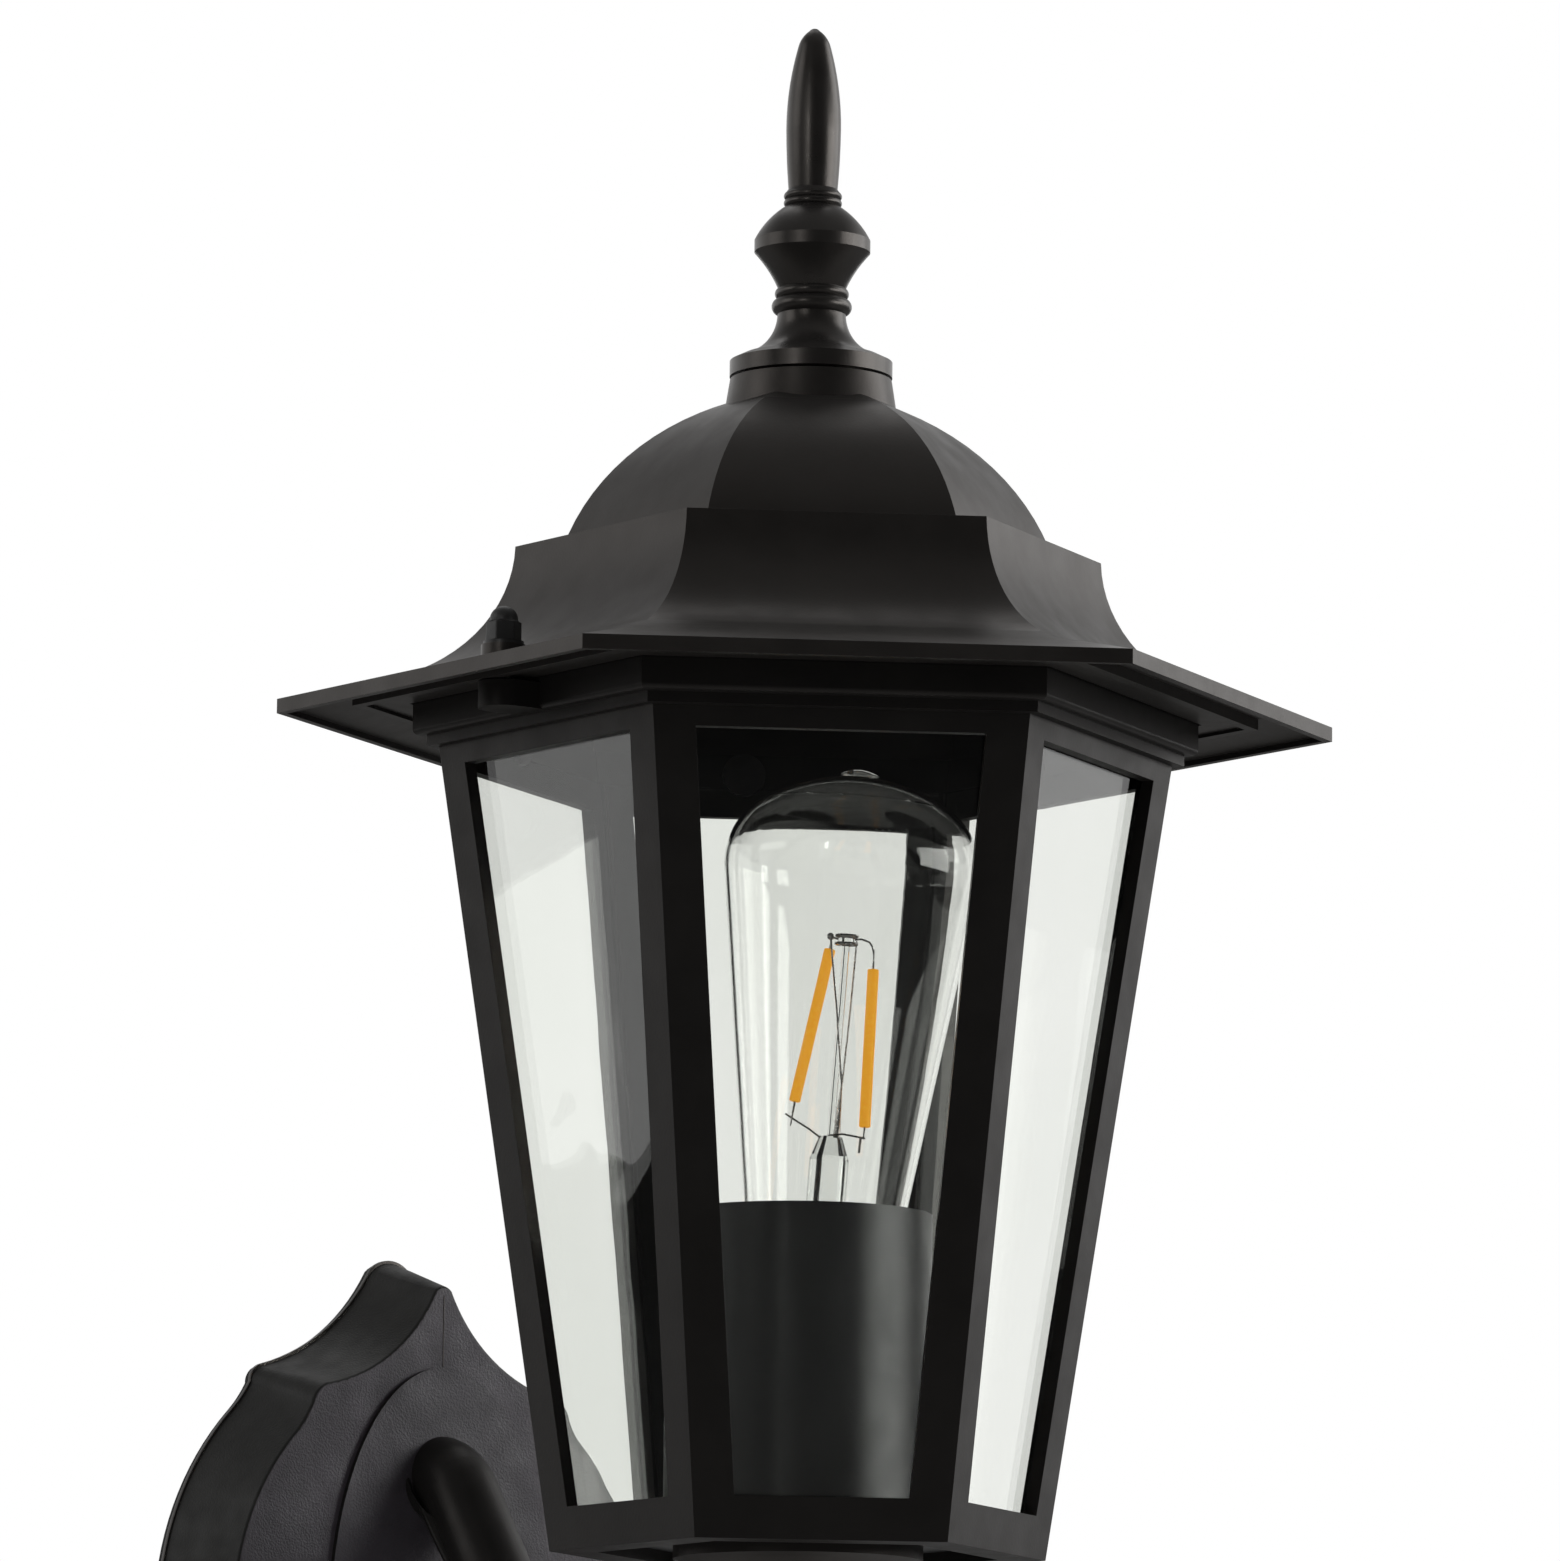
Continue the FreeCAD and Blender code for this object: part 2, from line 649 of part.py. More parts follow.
def make_roof_fixing():
    studs = []
    washers = []
    for side, reach in (("left", "-" + stud_reach), ("right", stud_reach)):
        foot = lug_top + " - dim.stud_depth"
        top = "dim.stud_seat_rise + dim.nut_washer_thick + dim.cap_nut_bore - dim.free_gap"
        studs.append(cylinder("roof_stud_" + side, "dim.stud_radius", "%s - (%s)" % (top, foot),
                              x=reach, z=foot))
        washers.append(move(tube("nut_washer_" + side, "dim.nut_washer_radius", "dim.stud_hole_radius",
                                 "dim.nut_washer_thick"), x=reach, z="dim.stud_seat_rise"))
        seat = "dim.stud_seat_rise + dim.nut_washer_thick"
        keep("cap_nut_" + side, cap_nut("cap_nut_" + side),
             at_lantern + " * placement(vector(%s; 0; %s); rotation(0; 0; 0))" % (reach, seat))
    keep("roof_studs", group("roof_studs", studs), at_lantern)
    keep("nut_washers", group("nut_washers", washers), at_lantern)


# Cage casting: outer form with six windows, less its tapering hollow, with a lug for each stud
taper = "((dim.cage_top_flats - dim.cage_foot_flats) / 2 / (dim.cage_foot_drop - dim.cage_top_drop))"


def cage_face(drop):
    return "(dim.cage_foot_flats / 2 + %s * (dim.cage_foot_drop - %s))" % (taper, drop)


def make_cage():
    foot = "-dim.cage_foot_drop"
    tall = "dim.cage_foot_drop + dim.band_top_rise"
    outer = hex_form("cage_outer", band_flats, foot, tall, [
        ("dim.cage_foot_flats / 2", foot),
        ("dim.cage_top_flats / 2", "-dim.cage_top_drop"),
        (step_flats + " / 2", "-dim.cage_top_drop"),
        (step_flats + " / 2", "-dim.band_drop"),
        (band_flats + " / 2 - dim.band_round", "-dim.band_drop", "left", "dim.band_round"),
        (band_flats + " / 2", "dim.band_round - dim.band_drop"),
        (band_flats + " / 2", "dim.band_top_rise - dim.band_round", "left", "dim.band_round"),
        (band_flats + " / 2 - dim.band_round", "dim.band_top_rise"),
        (band_flats + " / 2 - dim.band_round", "dim.band_top_rise + dim.overrun"),
        (band_flats, "dim.band_top_rise + dim.overrun"),
        (band_flats, foot + " - dim.overrun"),
        ("dim.cage_foot_flats / 2", foot + " - dim.overrun"),
    ])
    top_half = "(%s * tan(30) - dim.post_face)" % cage_face("dim.window_top_drop")
    foot_half = "(%s * tan(30) - dim.post_face)" % cage_face("dim.window_foot_drop")
    window = draw(outer, "cage_window", "YZ_Plane", [[
        ("-" + foot_half, "-dim.window_foot_drop"),
        (foot_half, "-dim.window_foot_drop"),
        (top_half, "-dim.window_top_drop"),
        ("-" + top_half, "-dim.window_top_drop"),
    ]])
    six_times(outer, [extrude(outer, "Pocket", window, band_flats)])
    hollow_foot = foot + " + dim.flange_thick"
    hollow = hex_form("cage_hollow", band_flats, hollow_foot, tall, [
        ("%s - dim.cage_wall" % cage_face("(dim.cage_foot_drop + dim.overrun)"), foot + " - dim.overrun"),
        ("%s - dim.cage_wall" % cage_face("(-dim.overrun)"), "dim.overrun"),
        (band_flats, "dim.overrun"),
        (band_flats, foot + " - dim.overrun"),
    ])
    opening = hex_prism("flange_opening", "dim.flange_opening_flats", "2 * dim.overrun", foot + " - dim.overrun")
    shell = cut("cage_shell", outer, [hollow, opening])
    solids = [shell]
    holes = []
    for side, reach in (("left", "-" + stud_reach), ("right", stud_reach)):
        lug_tall = "dim.lug_drop + " + lug_top
        web = "(%s - %s / 2)" % (stud_reach, step_flats)
        solids.append(cylinder("lug_" + side, "dim.lug_radius", lug_tall, x=reach, z="-dim.lug_drop"))
        solids.append(box("lug_web_" + side, web, "2 * dim.lug_radius", lug_tall,
                          "-" + stud_reach if side == "left" else "%s - %s" % (stud_reach, web),
                          "-dim.lug_radius", "-dim.lug_drop"))
        holes.append(cylinder("lug_hole_" + side, "dim.stud_radius + dim.running_gap", "dim.stud_depth",
                              x=reach, z=lug_top + " - dim.stud_depth"))
    keep("cage_casting", cut("cage_casting", fuse("cage_solids", solids), holes), at_lantern)


# Six panes lean against the inside of the cage and stand on its flange, each under a round-headed clip
faces = ["right", "rear_right", "rear_left", "left", "front_left", "front_right"]


def at_pane(heading):
    reach = "(%s - dim.cage_wall)" % cage_face("(dim.cage_foot_drop - dim.flange_thick)")
    return ("placement(vector(%s * cos(%d); %s * sin(%d) - dim.axis_reach; "
            "dim.eave_height - dim.cage_foot_drop + dim.flange_thick); "
            "rotation(%d; 0; 90 - atan(%s) / 1 deg))" % (reach, heading, reach, heading, heading - 90, taper))


def up_the_pane(drop):
    return "((dim.cage_foot_drop - dim.flange_thick - %s) / cos(atan(%s)))" % (drop, taper)


def pane_half(drop):
    inner = "(%s - dim.cage_wall - dim.pane_thick / cos(atan(%s)))" % (cage_face(drop), taper)
    return "(%s * tan(30) - dim.pane_side_gap)" % inner


def make_panes():
    clips = []
    foot_half = pane_half("(dim.cage_foot_drop - dim.flange_thick)")
    top_half = pane_half("dim.pane_top_drop")
    tall = up_the_pane("dim.pane_top_drop")
    for turn, place in enumerate(faces):
        heading = turn * 60
        name = "glass_pane_" + place
        body = new_body(name)
        face = draw(body, name + "_face", "XY_Plane", [[
            ("-" + foot_half, "0"), (foot_half, "0"), (top_half, tall), ("-" + top_half, tall)]])
        extrude(body, "Pad", face, "dim.pane_thick")
        keep(name, body, at_pane(heading))
        clip = turned("pane_clip_" + place, [
            ("0", "0"),
            ("dim.clip_shank_radius", "0"),
            ("dim.clip_shank_radius", "dim.pane_thick + dim.running_gap"),
            ("dim.clip_head_radius", "dim.pane_thick + dim.running_gap"),
            ("dim.clip_head_radius", "dim.pane_thick + dim.running_gap + dim.clip_head_thick"),
            ("0", "dim.pane_thick + dim.running_gap + dim.clip_head_thick"),
        ])
        spot = "placement(vector(-dim.clip_offset; %s; 0); rotation(0; 0; 0))" % up_the_pane("dim.clip_drop")
        clip.setExpression("Placement", at_pane(heading) + " * " + spot)
        clips.append(clip)
    keep("pane_clips", group("pane_clips", clips), at_wall)


# Floor plate, sleeve, and the lock nut and washer on the arm's threaded end
def make_floor():
    hole = "dim.spigot_radius + dim.free_gap"
    plate_foot = "dim.flange_thick - dim.cage_foot_drop"
    keep("floor_plate", cut("floor_plate",
                            hex_prism("floor_blank", "dim.floor_flats", "dim.floor_thick", plate_foot),
                            [cylinder("floor_hole", hole, "dim.floor_thick", z=plate_foot)]), at_lantern)
    keep("lamp_sleeve", tube("lamp_sleeve", "dim.sleeve_radius", "dim.sleeve_radius - dim.sleeve_wall",
                             "dim.sleeve_tall", floor_top), at_lantern)
    keep("lock_washer", tube("lock_washer", "dim.lock_washer_radius", hole, "dim.lock_washer_thick", floor_top),
         at_lantern)
    keep("lock_nut", hex_nut("lock_nut", "dim.lock_nut_flats", "dim.spigot_radius + dim.running_gap",
                             "dim.lock_nut_thick", floor_top + " + dim.lock_washer_thick"), at_lantern)
    bore = "dim.spigot_radius + dim.free_gap"
    foot = "dim.shoulder_tall - dim.arm_end_drop"
    rim = plate_foot
    keep("base_cup", turned("base_cup", [
        (bore, foot),
        ("dim.cup_foot_radius", foot),
        ("dim.cup_foot_radius", foot + " + dim.cup_foot_tall", "right", "dim.cup_curve"),
        ("dim.cup_rim_radius", rim + " - dim.cup_rim_tall"),
        ("dim.cup_rim_radius", rim),
        ("dim.cup_rim_radius - dim.cup_wall", rim),
        ("dim.cup_rim_radius - dim.cup_wall", rim + " - dim.cup_rim_tall", "left", "dim.cup_curve"),
        ("dim.cup_foot_radius - dim.cup_wall", foot + " + dim.cup_foot_tall + dim.cup_wall"),
        (bore, foot + " + dim.cup_foot_tall + dim.cup_wall"),
    ]), at_lantern)


# Lampholder on its bracket; the bracket's legs are cut off level with the floor plate
holder_base = "dim.bracket_rise + dim.bracket_thick"
shell_bore = "dim.lamp_cap_radius + dim.running_gap"


def make_lampholder():
    leg_tall = "dim.bracket_rise + dim.overrun"
    inside = "dim.bracket_span / 2 - dim.bracket_thick"
    width = "dim.bracket_width"
    solids = [box("bracket_top", "dim.bracket_span", width, "dim.bracket_thick",
                  "-dim.bracket_span / 2", "-%s / 2" % width, "dim.bracket_rise")]
    for name, x in (("near", "-dim.bracket_span / 2"), ("far", inside)):
        solids.append(box("bracket_leg_" + name, "dim.bracket_thick", width, leg_tall, x, "-%s / 2" % width,
                          "-dim.overrun"))
    below = group("below_floor", [box("below_floor_block", "2 * dim.bracket_span", "2 * dim.bracket_span",
                                      "2 * dim.overrun", "-dim.bracket_span", "-dim.bracket_span",
                                      "-2 * dim.overrun")])
    move(below, turn="0; -dim.lamp_lean; 0")
    hole = cylinder("bracket_hole", "dim.nipple_radius + dim.running_gap", "2 * dim.overrun", z="dim.overrun")
    keep("lamp_bracket", cut("lamp_bracket", fuse("bracket_strap", solids), [below, hole]), at_lamp)
    nut_foot = "dim.bracket_rise - dim.nipple_nut_thick"
    keep("nipple_nut", hex_nut("nipple_nut", "dim.nipple_nut_flats", "dim.nipple_radius + dim.running_gap",
                               "dim.nipple_nut_thick", nut_foot), at_lamp)
    keep("lamp_nipple", tube("lamp_nipple", "dim.nipple_radius", "dim.nipple_bore",
                             "dim.nipple_nut_thick + dim.bracket_thick + dim.nipple_proud", nut_foot), at_lamp)
    pit = holder_base + " + dim.holder_floor"
    rim = holder_base + " + dim.holder_tall"
    well = shell_bore + " + dim.shell_wall + dim.running_gap"
    bore = "dim.nipple_radius + dim.running_gap"
    keep("lampholder_body", turned("lampholder_body", [
        (bore, holder_base),
        ("dim.holder_radius", holder_base),
        ("dim.holder_radius", rim),
        (well, rim),
        (well, pit),
        (bore, pit),
    ]), at_lamp)
    keep("screw_shell", tube("screw_shell", shell_bore + " + dim.shell_wall", shell_bore, "dim.shell_tall", pit),
         at_lamp)
    strip = box("contact_strip", "2 * (%s) - 2 * dim.free_gap" % shell_bore, "dim.contact_strip_width",
                "dim.contact_strip_thick", "dim.free_gap - (%s)" % shell_bore, "-dim.contact_strip_width / 2", pit)
    trimmed = common("contact_spring", [strip, cylinder(
        "contact_round", shell_bore + " - dim.free_gap", "dim.contact_strip_thick", z=pit)])
    dimple = cylinder("contact_dimple", "dim.contact_dimple_radius", "dim.contact_dimple_rise", z=pit)
    keep("centre_contact", fuse("centre_contact", [trimmed, dimple]), at_lamp)


# Lamp: cap, contact, clear envelope, stem, filaments and their wires
lamp_foot = "(%s + dim.holder_floor + dim.contact_dimple_rise + dim.free_gap)" % holder_base
at_lamp_cap = at_lamp + " * placement(vector(0; 0; %s); rotation(0; 0; 0))" % lamp_foot


def rod(name, start, end, radius):
    reach = ["(%s) - (%s)" % (far, near) for near, far in zip(start, end)]
    length = "sqrt((%s)^2 + (%s)^2 + (%s)^2)" % tuple(reach)
    shape = cylinder(name, radius, length)
    shape.setExpression("Placement", "placement(vector(%s); rotation(vector(0; 0; 1); vector(%s)))"
                        % ("; ".join(start), "; ".join(reach)))
    return shape


def filament_end(spot):
    return ["dim.filament_%s_%s" % (spot, axis) for axis in "xyz"]


def make_lamp():
    keep("lamp_contact", cylinder("lamp_contact", "dim.lamp_contact_radius", "dim.lamp_contact_tall"), at_lamp_cap)
    keep("lamp_insulator", turned("lamp_insulator", [
        ("0", "dim.lamp_contact_tall"),
        ("dim.lamp_insulator_foot", "dim.lamp_contact_tall"),
        ("dim.lamp_insulator_radius", "dim.lamp_insulator_rise"),
        ("0", "dim.lamp_insulator_rise"),
    ]), at_lamp_cap)
    keep("lamp_cap", turned("lamp_cap", [
        ("0", "dim.lamp_insulator_rise"),
        ("dim.lamp_insulator_radius", "dim.lamp_insulator_rise"),
        ("dim.lamp_cap_radius", "2 * dim.lamp_insulator_rise - dim.lamp_contact_tall"),
        ("dim.lamp_cap_radius", "dim.lamp_cap_rise - dim.lamp_collar_tall"),
        ("dim.lamp_collar_radius", "dim.lamp_cap_rise"),
        ("0", "dim.lamp_cap_rise"),
    ]), at_lamp_cap)
    wall = "dim.glass_wall"

    def crown(inset):
        curve = "(dim.glass_dome_curve - %s)" % inset
        return (curve + " * sin(dim.glass_crown_turn)",
                "dim.glass_dome_centre + %s * cos(dim.glass_crown_turn)" % curve)

    def belly(inset):
        across, rise = crown("dim.glass_crown_curve")
        curve = "(dim.glass_crown_curve - %s)" % inset
        return ("%s + %s * cos(dim.glass_flare)" % (across, curve),
                "%s - %s * sin(dim.glass_flare)" % (rise, curve))

    tip_foot = "dim.glass_dome_centre + sqrt(dim.glass_dome_curve^2 - dim.glass_tip_radius^2)"
    keep("lamp_glass", turned("lamp_glass", [
        ("dim.glass_neck_radius", "dim.lamp_cap_rise"),
        ("dim.glass_shoulder_radius", "dim.glass_shoulder_rise"),
        belly("0") + ("left", "dim.glass_crown_curve"),
        crown("0") + ("left", "dim.glass_dome_curve"),
        ("dim.glass_tip_radius", tip_foot, "left",
         "(dim.glass_tip_radius^2 + dim.glass_tip_tall^2) / (2 * dim.glass_tip_tall)"),
        ("0", tip_foot + " + dim.glass_tip_tall"),
        ("0", "dim.glass_dome_centre + dim.glass_dome_curve - " + wall,
         "right", "dim.glass_dome_curve - " + wall),
        crown(wall) + ("right", "dim.glass_crown_curve - " + wall),
        belly(wall),
        ("dim.glass_shoulder_radius - " + wall, "dim.glass_shoulder_rise"),
        ("dim.glass_neck_radius - " + wall, "dim.lamp_cap_rise"),
    ]), at_lamp_cap)
    keep("lamp_stem", turned("lamp_stem", [
        ("0", "dim.lamp_cap_rise"),
        ("dim.stem_flare_radius", "dim.lamp_cap_rise"),
        ("dim.stem_radius", "dim.stem_flare_rise"),
        ("dim.stem_radius", "dim.stem_press_foot"),
        ("dim.stem_press_radius", "dim.stem_press_rise"),
        ("dim.stem_rod_radius", "dim.stem_press_rise"),
        ("dim.stem_rod_radius", "dim.stem_bead_foot"),
        ("dim.stem_bead_radius", "dim.stem_bead_foot"),
        ("dim.stem_bead_radius", "dim.stem_bead_rise"),
        ("0", "dim.stem_bead_rise"),
    ]), at_lamp_cap)
    filaments = []
    wires = []
    for side, sign in (("left", "-"), ("right", "")):
        top = filament_end(side + "_top")
        foot = filament_end(side + "_foot")
        filaments.append(rod("filament_" + side, foot, top, "dim.filament_radius"))
        bead = [sign + "(dim.stem_bead_radius + dim.wire_radius)", "0",
                "(dim.stem_bead_foot + dim.stem_bead_rise) / 2"]
        press = [sign + "(dim.stem_press_radius + 2 * dim.wire_radius)", "0", "dim.stem_press_rise"]
        wires.append(rod("wire_top_" + side, bead, [top[0], top[1], top[2] + " + dim.wire_gap"],
                         "dim.wire_radius"))
        wires.append(rod("wire_foot_" + side, press, [foot[0], foot[1], foot[2] + " - dim.wire_gap"],
                         "dim.wire_radius"))
    keep("lamp_filaments", group("lamp_filaments", filaments), at_lamp_cap)
    keep("lamp_wires", group("lamp_wires", wires), at_lamp_cap)


# Arm casting: oval foot, tube bent up under the lantern, and its threaded end
arm_end = "(dim.eave_height - dim.arm_end_drop)"
spigot_top = ("(dim.eave_height + %s + dim.lock_washer_thick + dim.lock_nut_thick + dim.spigot_proud)" % floor_top)


root_out = "(dim.plate_front - dim.arm_root_depth)"
run_out = "(dim.axis_reach - dim.arm_bend - %s)" % root_out
run_rise = "(dim.arm_root_rise - dim.arm_root_bend - %s)" % arm_end
run_length = "sqrt(%s^2 + %s^2)" % (run_out, run_rise)
arm_slope = "(atan2(%s; %s) + asin((dim.arm_bend + dim.arm_root_bend) / %s))" % (run_rise, run_out, run_length)
bend_out = "(dim.axis_reach - dim.arm_bend - dim.arm_bend * sin(%s))" % arm_slope
bend_rise = "(%s - dim.arm_bend * cos(%s))" % (arm_end, arm_slope)
knee_out = "(%s + dim.arm_root_bend * sin(%s))" % (root_out, arm_slope)
knee_rise = "(dim.arm_root_rise - dim.arm_root_bend * (1 - cos(%s)))" % arm_slope


def arm_run(name, radius):
    body = new_body(name)
    path = draw(body, name + "_path", "YZ_Plane", [[
        ("-dim.axis_reach", arm_end, "left", "dim.arm_bend"),
        ("-" + bend_out, bend_rise),
        ("-" + knee_out, knee_rise, "right", "dim.arm_root_bend"),
        ("-" + root_out, "dim.arm_root_rise"),
    ]], closed=False)
    section = draw_circle(body, name + "_section", "XY_Plane", "0", "-dim.axis_reach", radius, lift=arm_end)
    run = body.newObject("PartDesign::AdditivePipe", name + "_run")
    run.Profile = section
    run.Spine = (path, ["Edge1", "Edge2", "Edge3"])
    return body


def make_arm():
    oval = doc.addObject("Part::Ellipse", "foot_oval")
    oval.setExpression("MajorRadius", "dim.foot_half_tall")
    oval.setExpression("MinorRadius", "dim.foot_half_wide")
    foot = doc.addObject("Part::Extrusion", "arm_foot")
    foot.Base = oval
    foot.DirMode = "Custom"
    foot.Dir = FreeCAD.Vector(0, 0, 1)
    foot.Solid = True
    foot.setExpression("LengthFwd", "dim.foot_proud")
    move(foot, y="-dim.plate_front", turn="90; -90; 0")
    behind = box("behind_foot", "2 * dim.foot_half_tall", "dim.plate_front + dim.overrun", "4 * dim.foot_half_tall",
                 "-dim.foot_half_tall", "-dim.plate_front", "-2 * dim.foot_half_tall")
    spigot_tall = "%s - %s" % (spigot_top, arm_end)
    spigot = cylinder("arm_spigot", "dim.spigot_radius", spigot_tall, y="-dim.axis_reach", z=arm_end)
    spigot_bore = cylinder("arm_spigot_bore", "dim.spigot_bore", spigot_tall, y="-dim.axis_reach", z=arm_end)
    front = cut("arm_front", fuse("arm_solids", [arm_run("arm_tube", "dim.arm_radius"), foot]), [behind])
    posts = []
    screws = []
    for side, reach in (("left", "-dim.arm_post_reach"), ("right", "dim.arm_post_reach")):
        posts.append(cylinder("arm_post_" + side, "dim.arm_post_radius", "dim.plate_wall + dim.foot_proud / 2",
                              reach, "dim.plate_wall - dim.plate_front", "-dim.arm_post_drop", "0; 0; 90"))
        screws.append(cylinder("arm_screw_hole_" + side, "dim.arm_screw_radius + dim.running_gap",
                               "dim.plate_wall + dim.foot_proud / 2", reach, "dim.plate_wall - dim.plate_front",
                               "-dim.arm_post_drop", "0; 0; 90"))
    shoulder = cylinder("arm_shoulder", "dim.arm_radius", "dim.shoulder_tall", y="-dim.axis_reach", z=arm_end)
    whole = fuse("arm_whole", [front, shoulder, spigot] + posts)
    bores = [arm_run("arm_bore", "dim.arm_bore"), spigot_bore] + screws
    keep("arm_casting", cut("arm_casting", whole, bores), at_wall)
    pieces = []
    for side, reach in (("left", "-dim.arm_post_reach"), ("right", "dim.arm_post_reach")):
        head = cylinder("arm_screw_head_" + side, "dim.arm_screw_head_radius", "dim.arm_screw_head_thick")
        shank = cylinder("arm_screw_shank_" + side, "dim.arm_screw_radius",
                         "dim.arm_screw_head_thick + dim.plate_wall + dim.foot_proud / 2 - dim.free_gap")
        screw = fuse("arm_screw_" + side, [head, shank])
        pieces.append(move(screw, reach, "dim.plate_wall + dim.arm_screw_head_thick - dim.plate_front",
                           "-dim.arm_post_drop", "0; 0; 90"))
    keep("arm_screws", group("arm_screws", pieces), at_wall)


# Wall plate: ogee outline with an ear at each shoulder, tapering to the front, hollow behind
def mirrored(quarter, cap):
    lower = [(x, "-" + z) for x, z, turn, radius in reversed(quarter)]
    turns = [corner[2:] for corner in quarter]
    right = quarter + [spot + curve for spot, curve in zip(lower, turns[-2::-1] + [cap])]
    return right + [("-" + x, "-" + z if not z.startswith("-") else z[1:], turn, radius)
                    for x, z, turn, radius in right]


def ogee(rim, inset="0"):
    def size(name, sign="-"):
        return "(dim.%s_%s %s %s)" % (rim, name, sign, inset)

    return mirrored([
        ("dim.%s_peak_half" % rim, size("peak"), "left", size("cove", "+")),
        (size("ear_top_wide"), size("ear_top_rise"), "right", "dim.%s_ear_curve" % rim),
        (size("ear_foot_wide"), size("ear_foot_rise"), "left", size("scoop", "+")),
        (size("side_wide"), size("side_rise"), "right", size("side")),
    ], ("right", "dim.%s_peak_curve" % rim))


def hollow_ogee():
    return mirrored([
        ("dim.hollow_peak_half", "(dim.front_peak - dim.hollow_peak_inset)",
         "left", "(dim.front_cove + dim.hollow_inset)"),
        (hollow_wide, hollow_rise, "right", hollow_side),
    ], ("right", "dim.hollow_peak_curve"))


def make_wall_plate():
    body = new_body("wall_plate")
    rear = draw(body, "plate_rear", "XZ_Plane", [ogee("rear")], "dim.gasket_thick")
    front = draw(body, "plate_face", "XZ_Plane", [ogee("front")], "dim.plate_front")
    loft = body.newObject("PartDesign::AdditiveLoft", "plate_form")
    loft.Profile = rear
    loft.Sections = [(front, [""])]
    loft.Ruled = True
    doc.recompute()
    form = loft
    for name, depth in (("plate_edge", "dim.plate_front"), ("plate_rear_edge", "dim.gasket_thick")):
        doc.recompute()
        rim = ["Edge%d" % place for place, edge in enumerate(form.Shape.Edges, start=1)
               if edge.BoundBox.YLength < 0.001 and abs(edge.BoundBox.YMax + number(depth)) < 0.001]
        rounding = body.newObject("PartDesign::Fillet", name)
        rounding.Base = (form, rim)
        rounding.setExpression("Radius", "dim." + name)
        form = rounding
    cavity = draw(body, "plate_cavity", "XZ_Plane", [hollow_ogee()], "dim.gasket_thick")
    extrude(body, "Pocket", cavity, "dim.plate_front - dim.gasket_thick - dim.plate_wall", backwards=True)
    holes = [cylinder("wire_hole", "dim.wire_hole_radius", "dim.plate_front + dim.overrun",
                      z="dim.arm_root_rise", turn="0; 0; 90")]
    for side, sign in (("left", "-"), ("right", "")):
        holes.append(cylinder("post_hole_" + side, "dim.arm_post_radius + dim.free_gap",
                              "dim.plate_front + dim.overrun", sign + "dim.arm_post_reach", "0",
                              "-dim.arm_post_drop", "0; 0; 90"))
        holes.append(cylinder("plate_stud_hole_" + side, "dim.stud_hole_radius",
                              "dim.plate_front + dim.overrun", sign + plate_stud_reach, turn="0; 0; 90"))
    keep("wall_plate", cut("wall_plate_drilled", body, holes), at_wall)


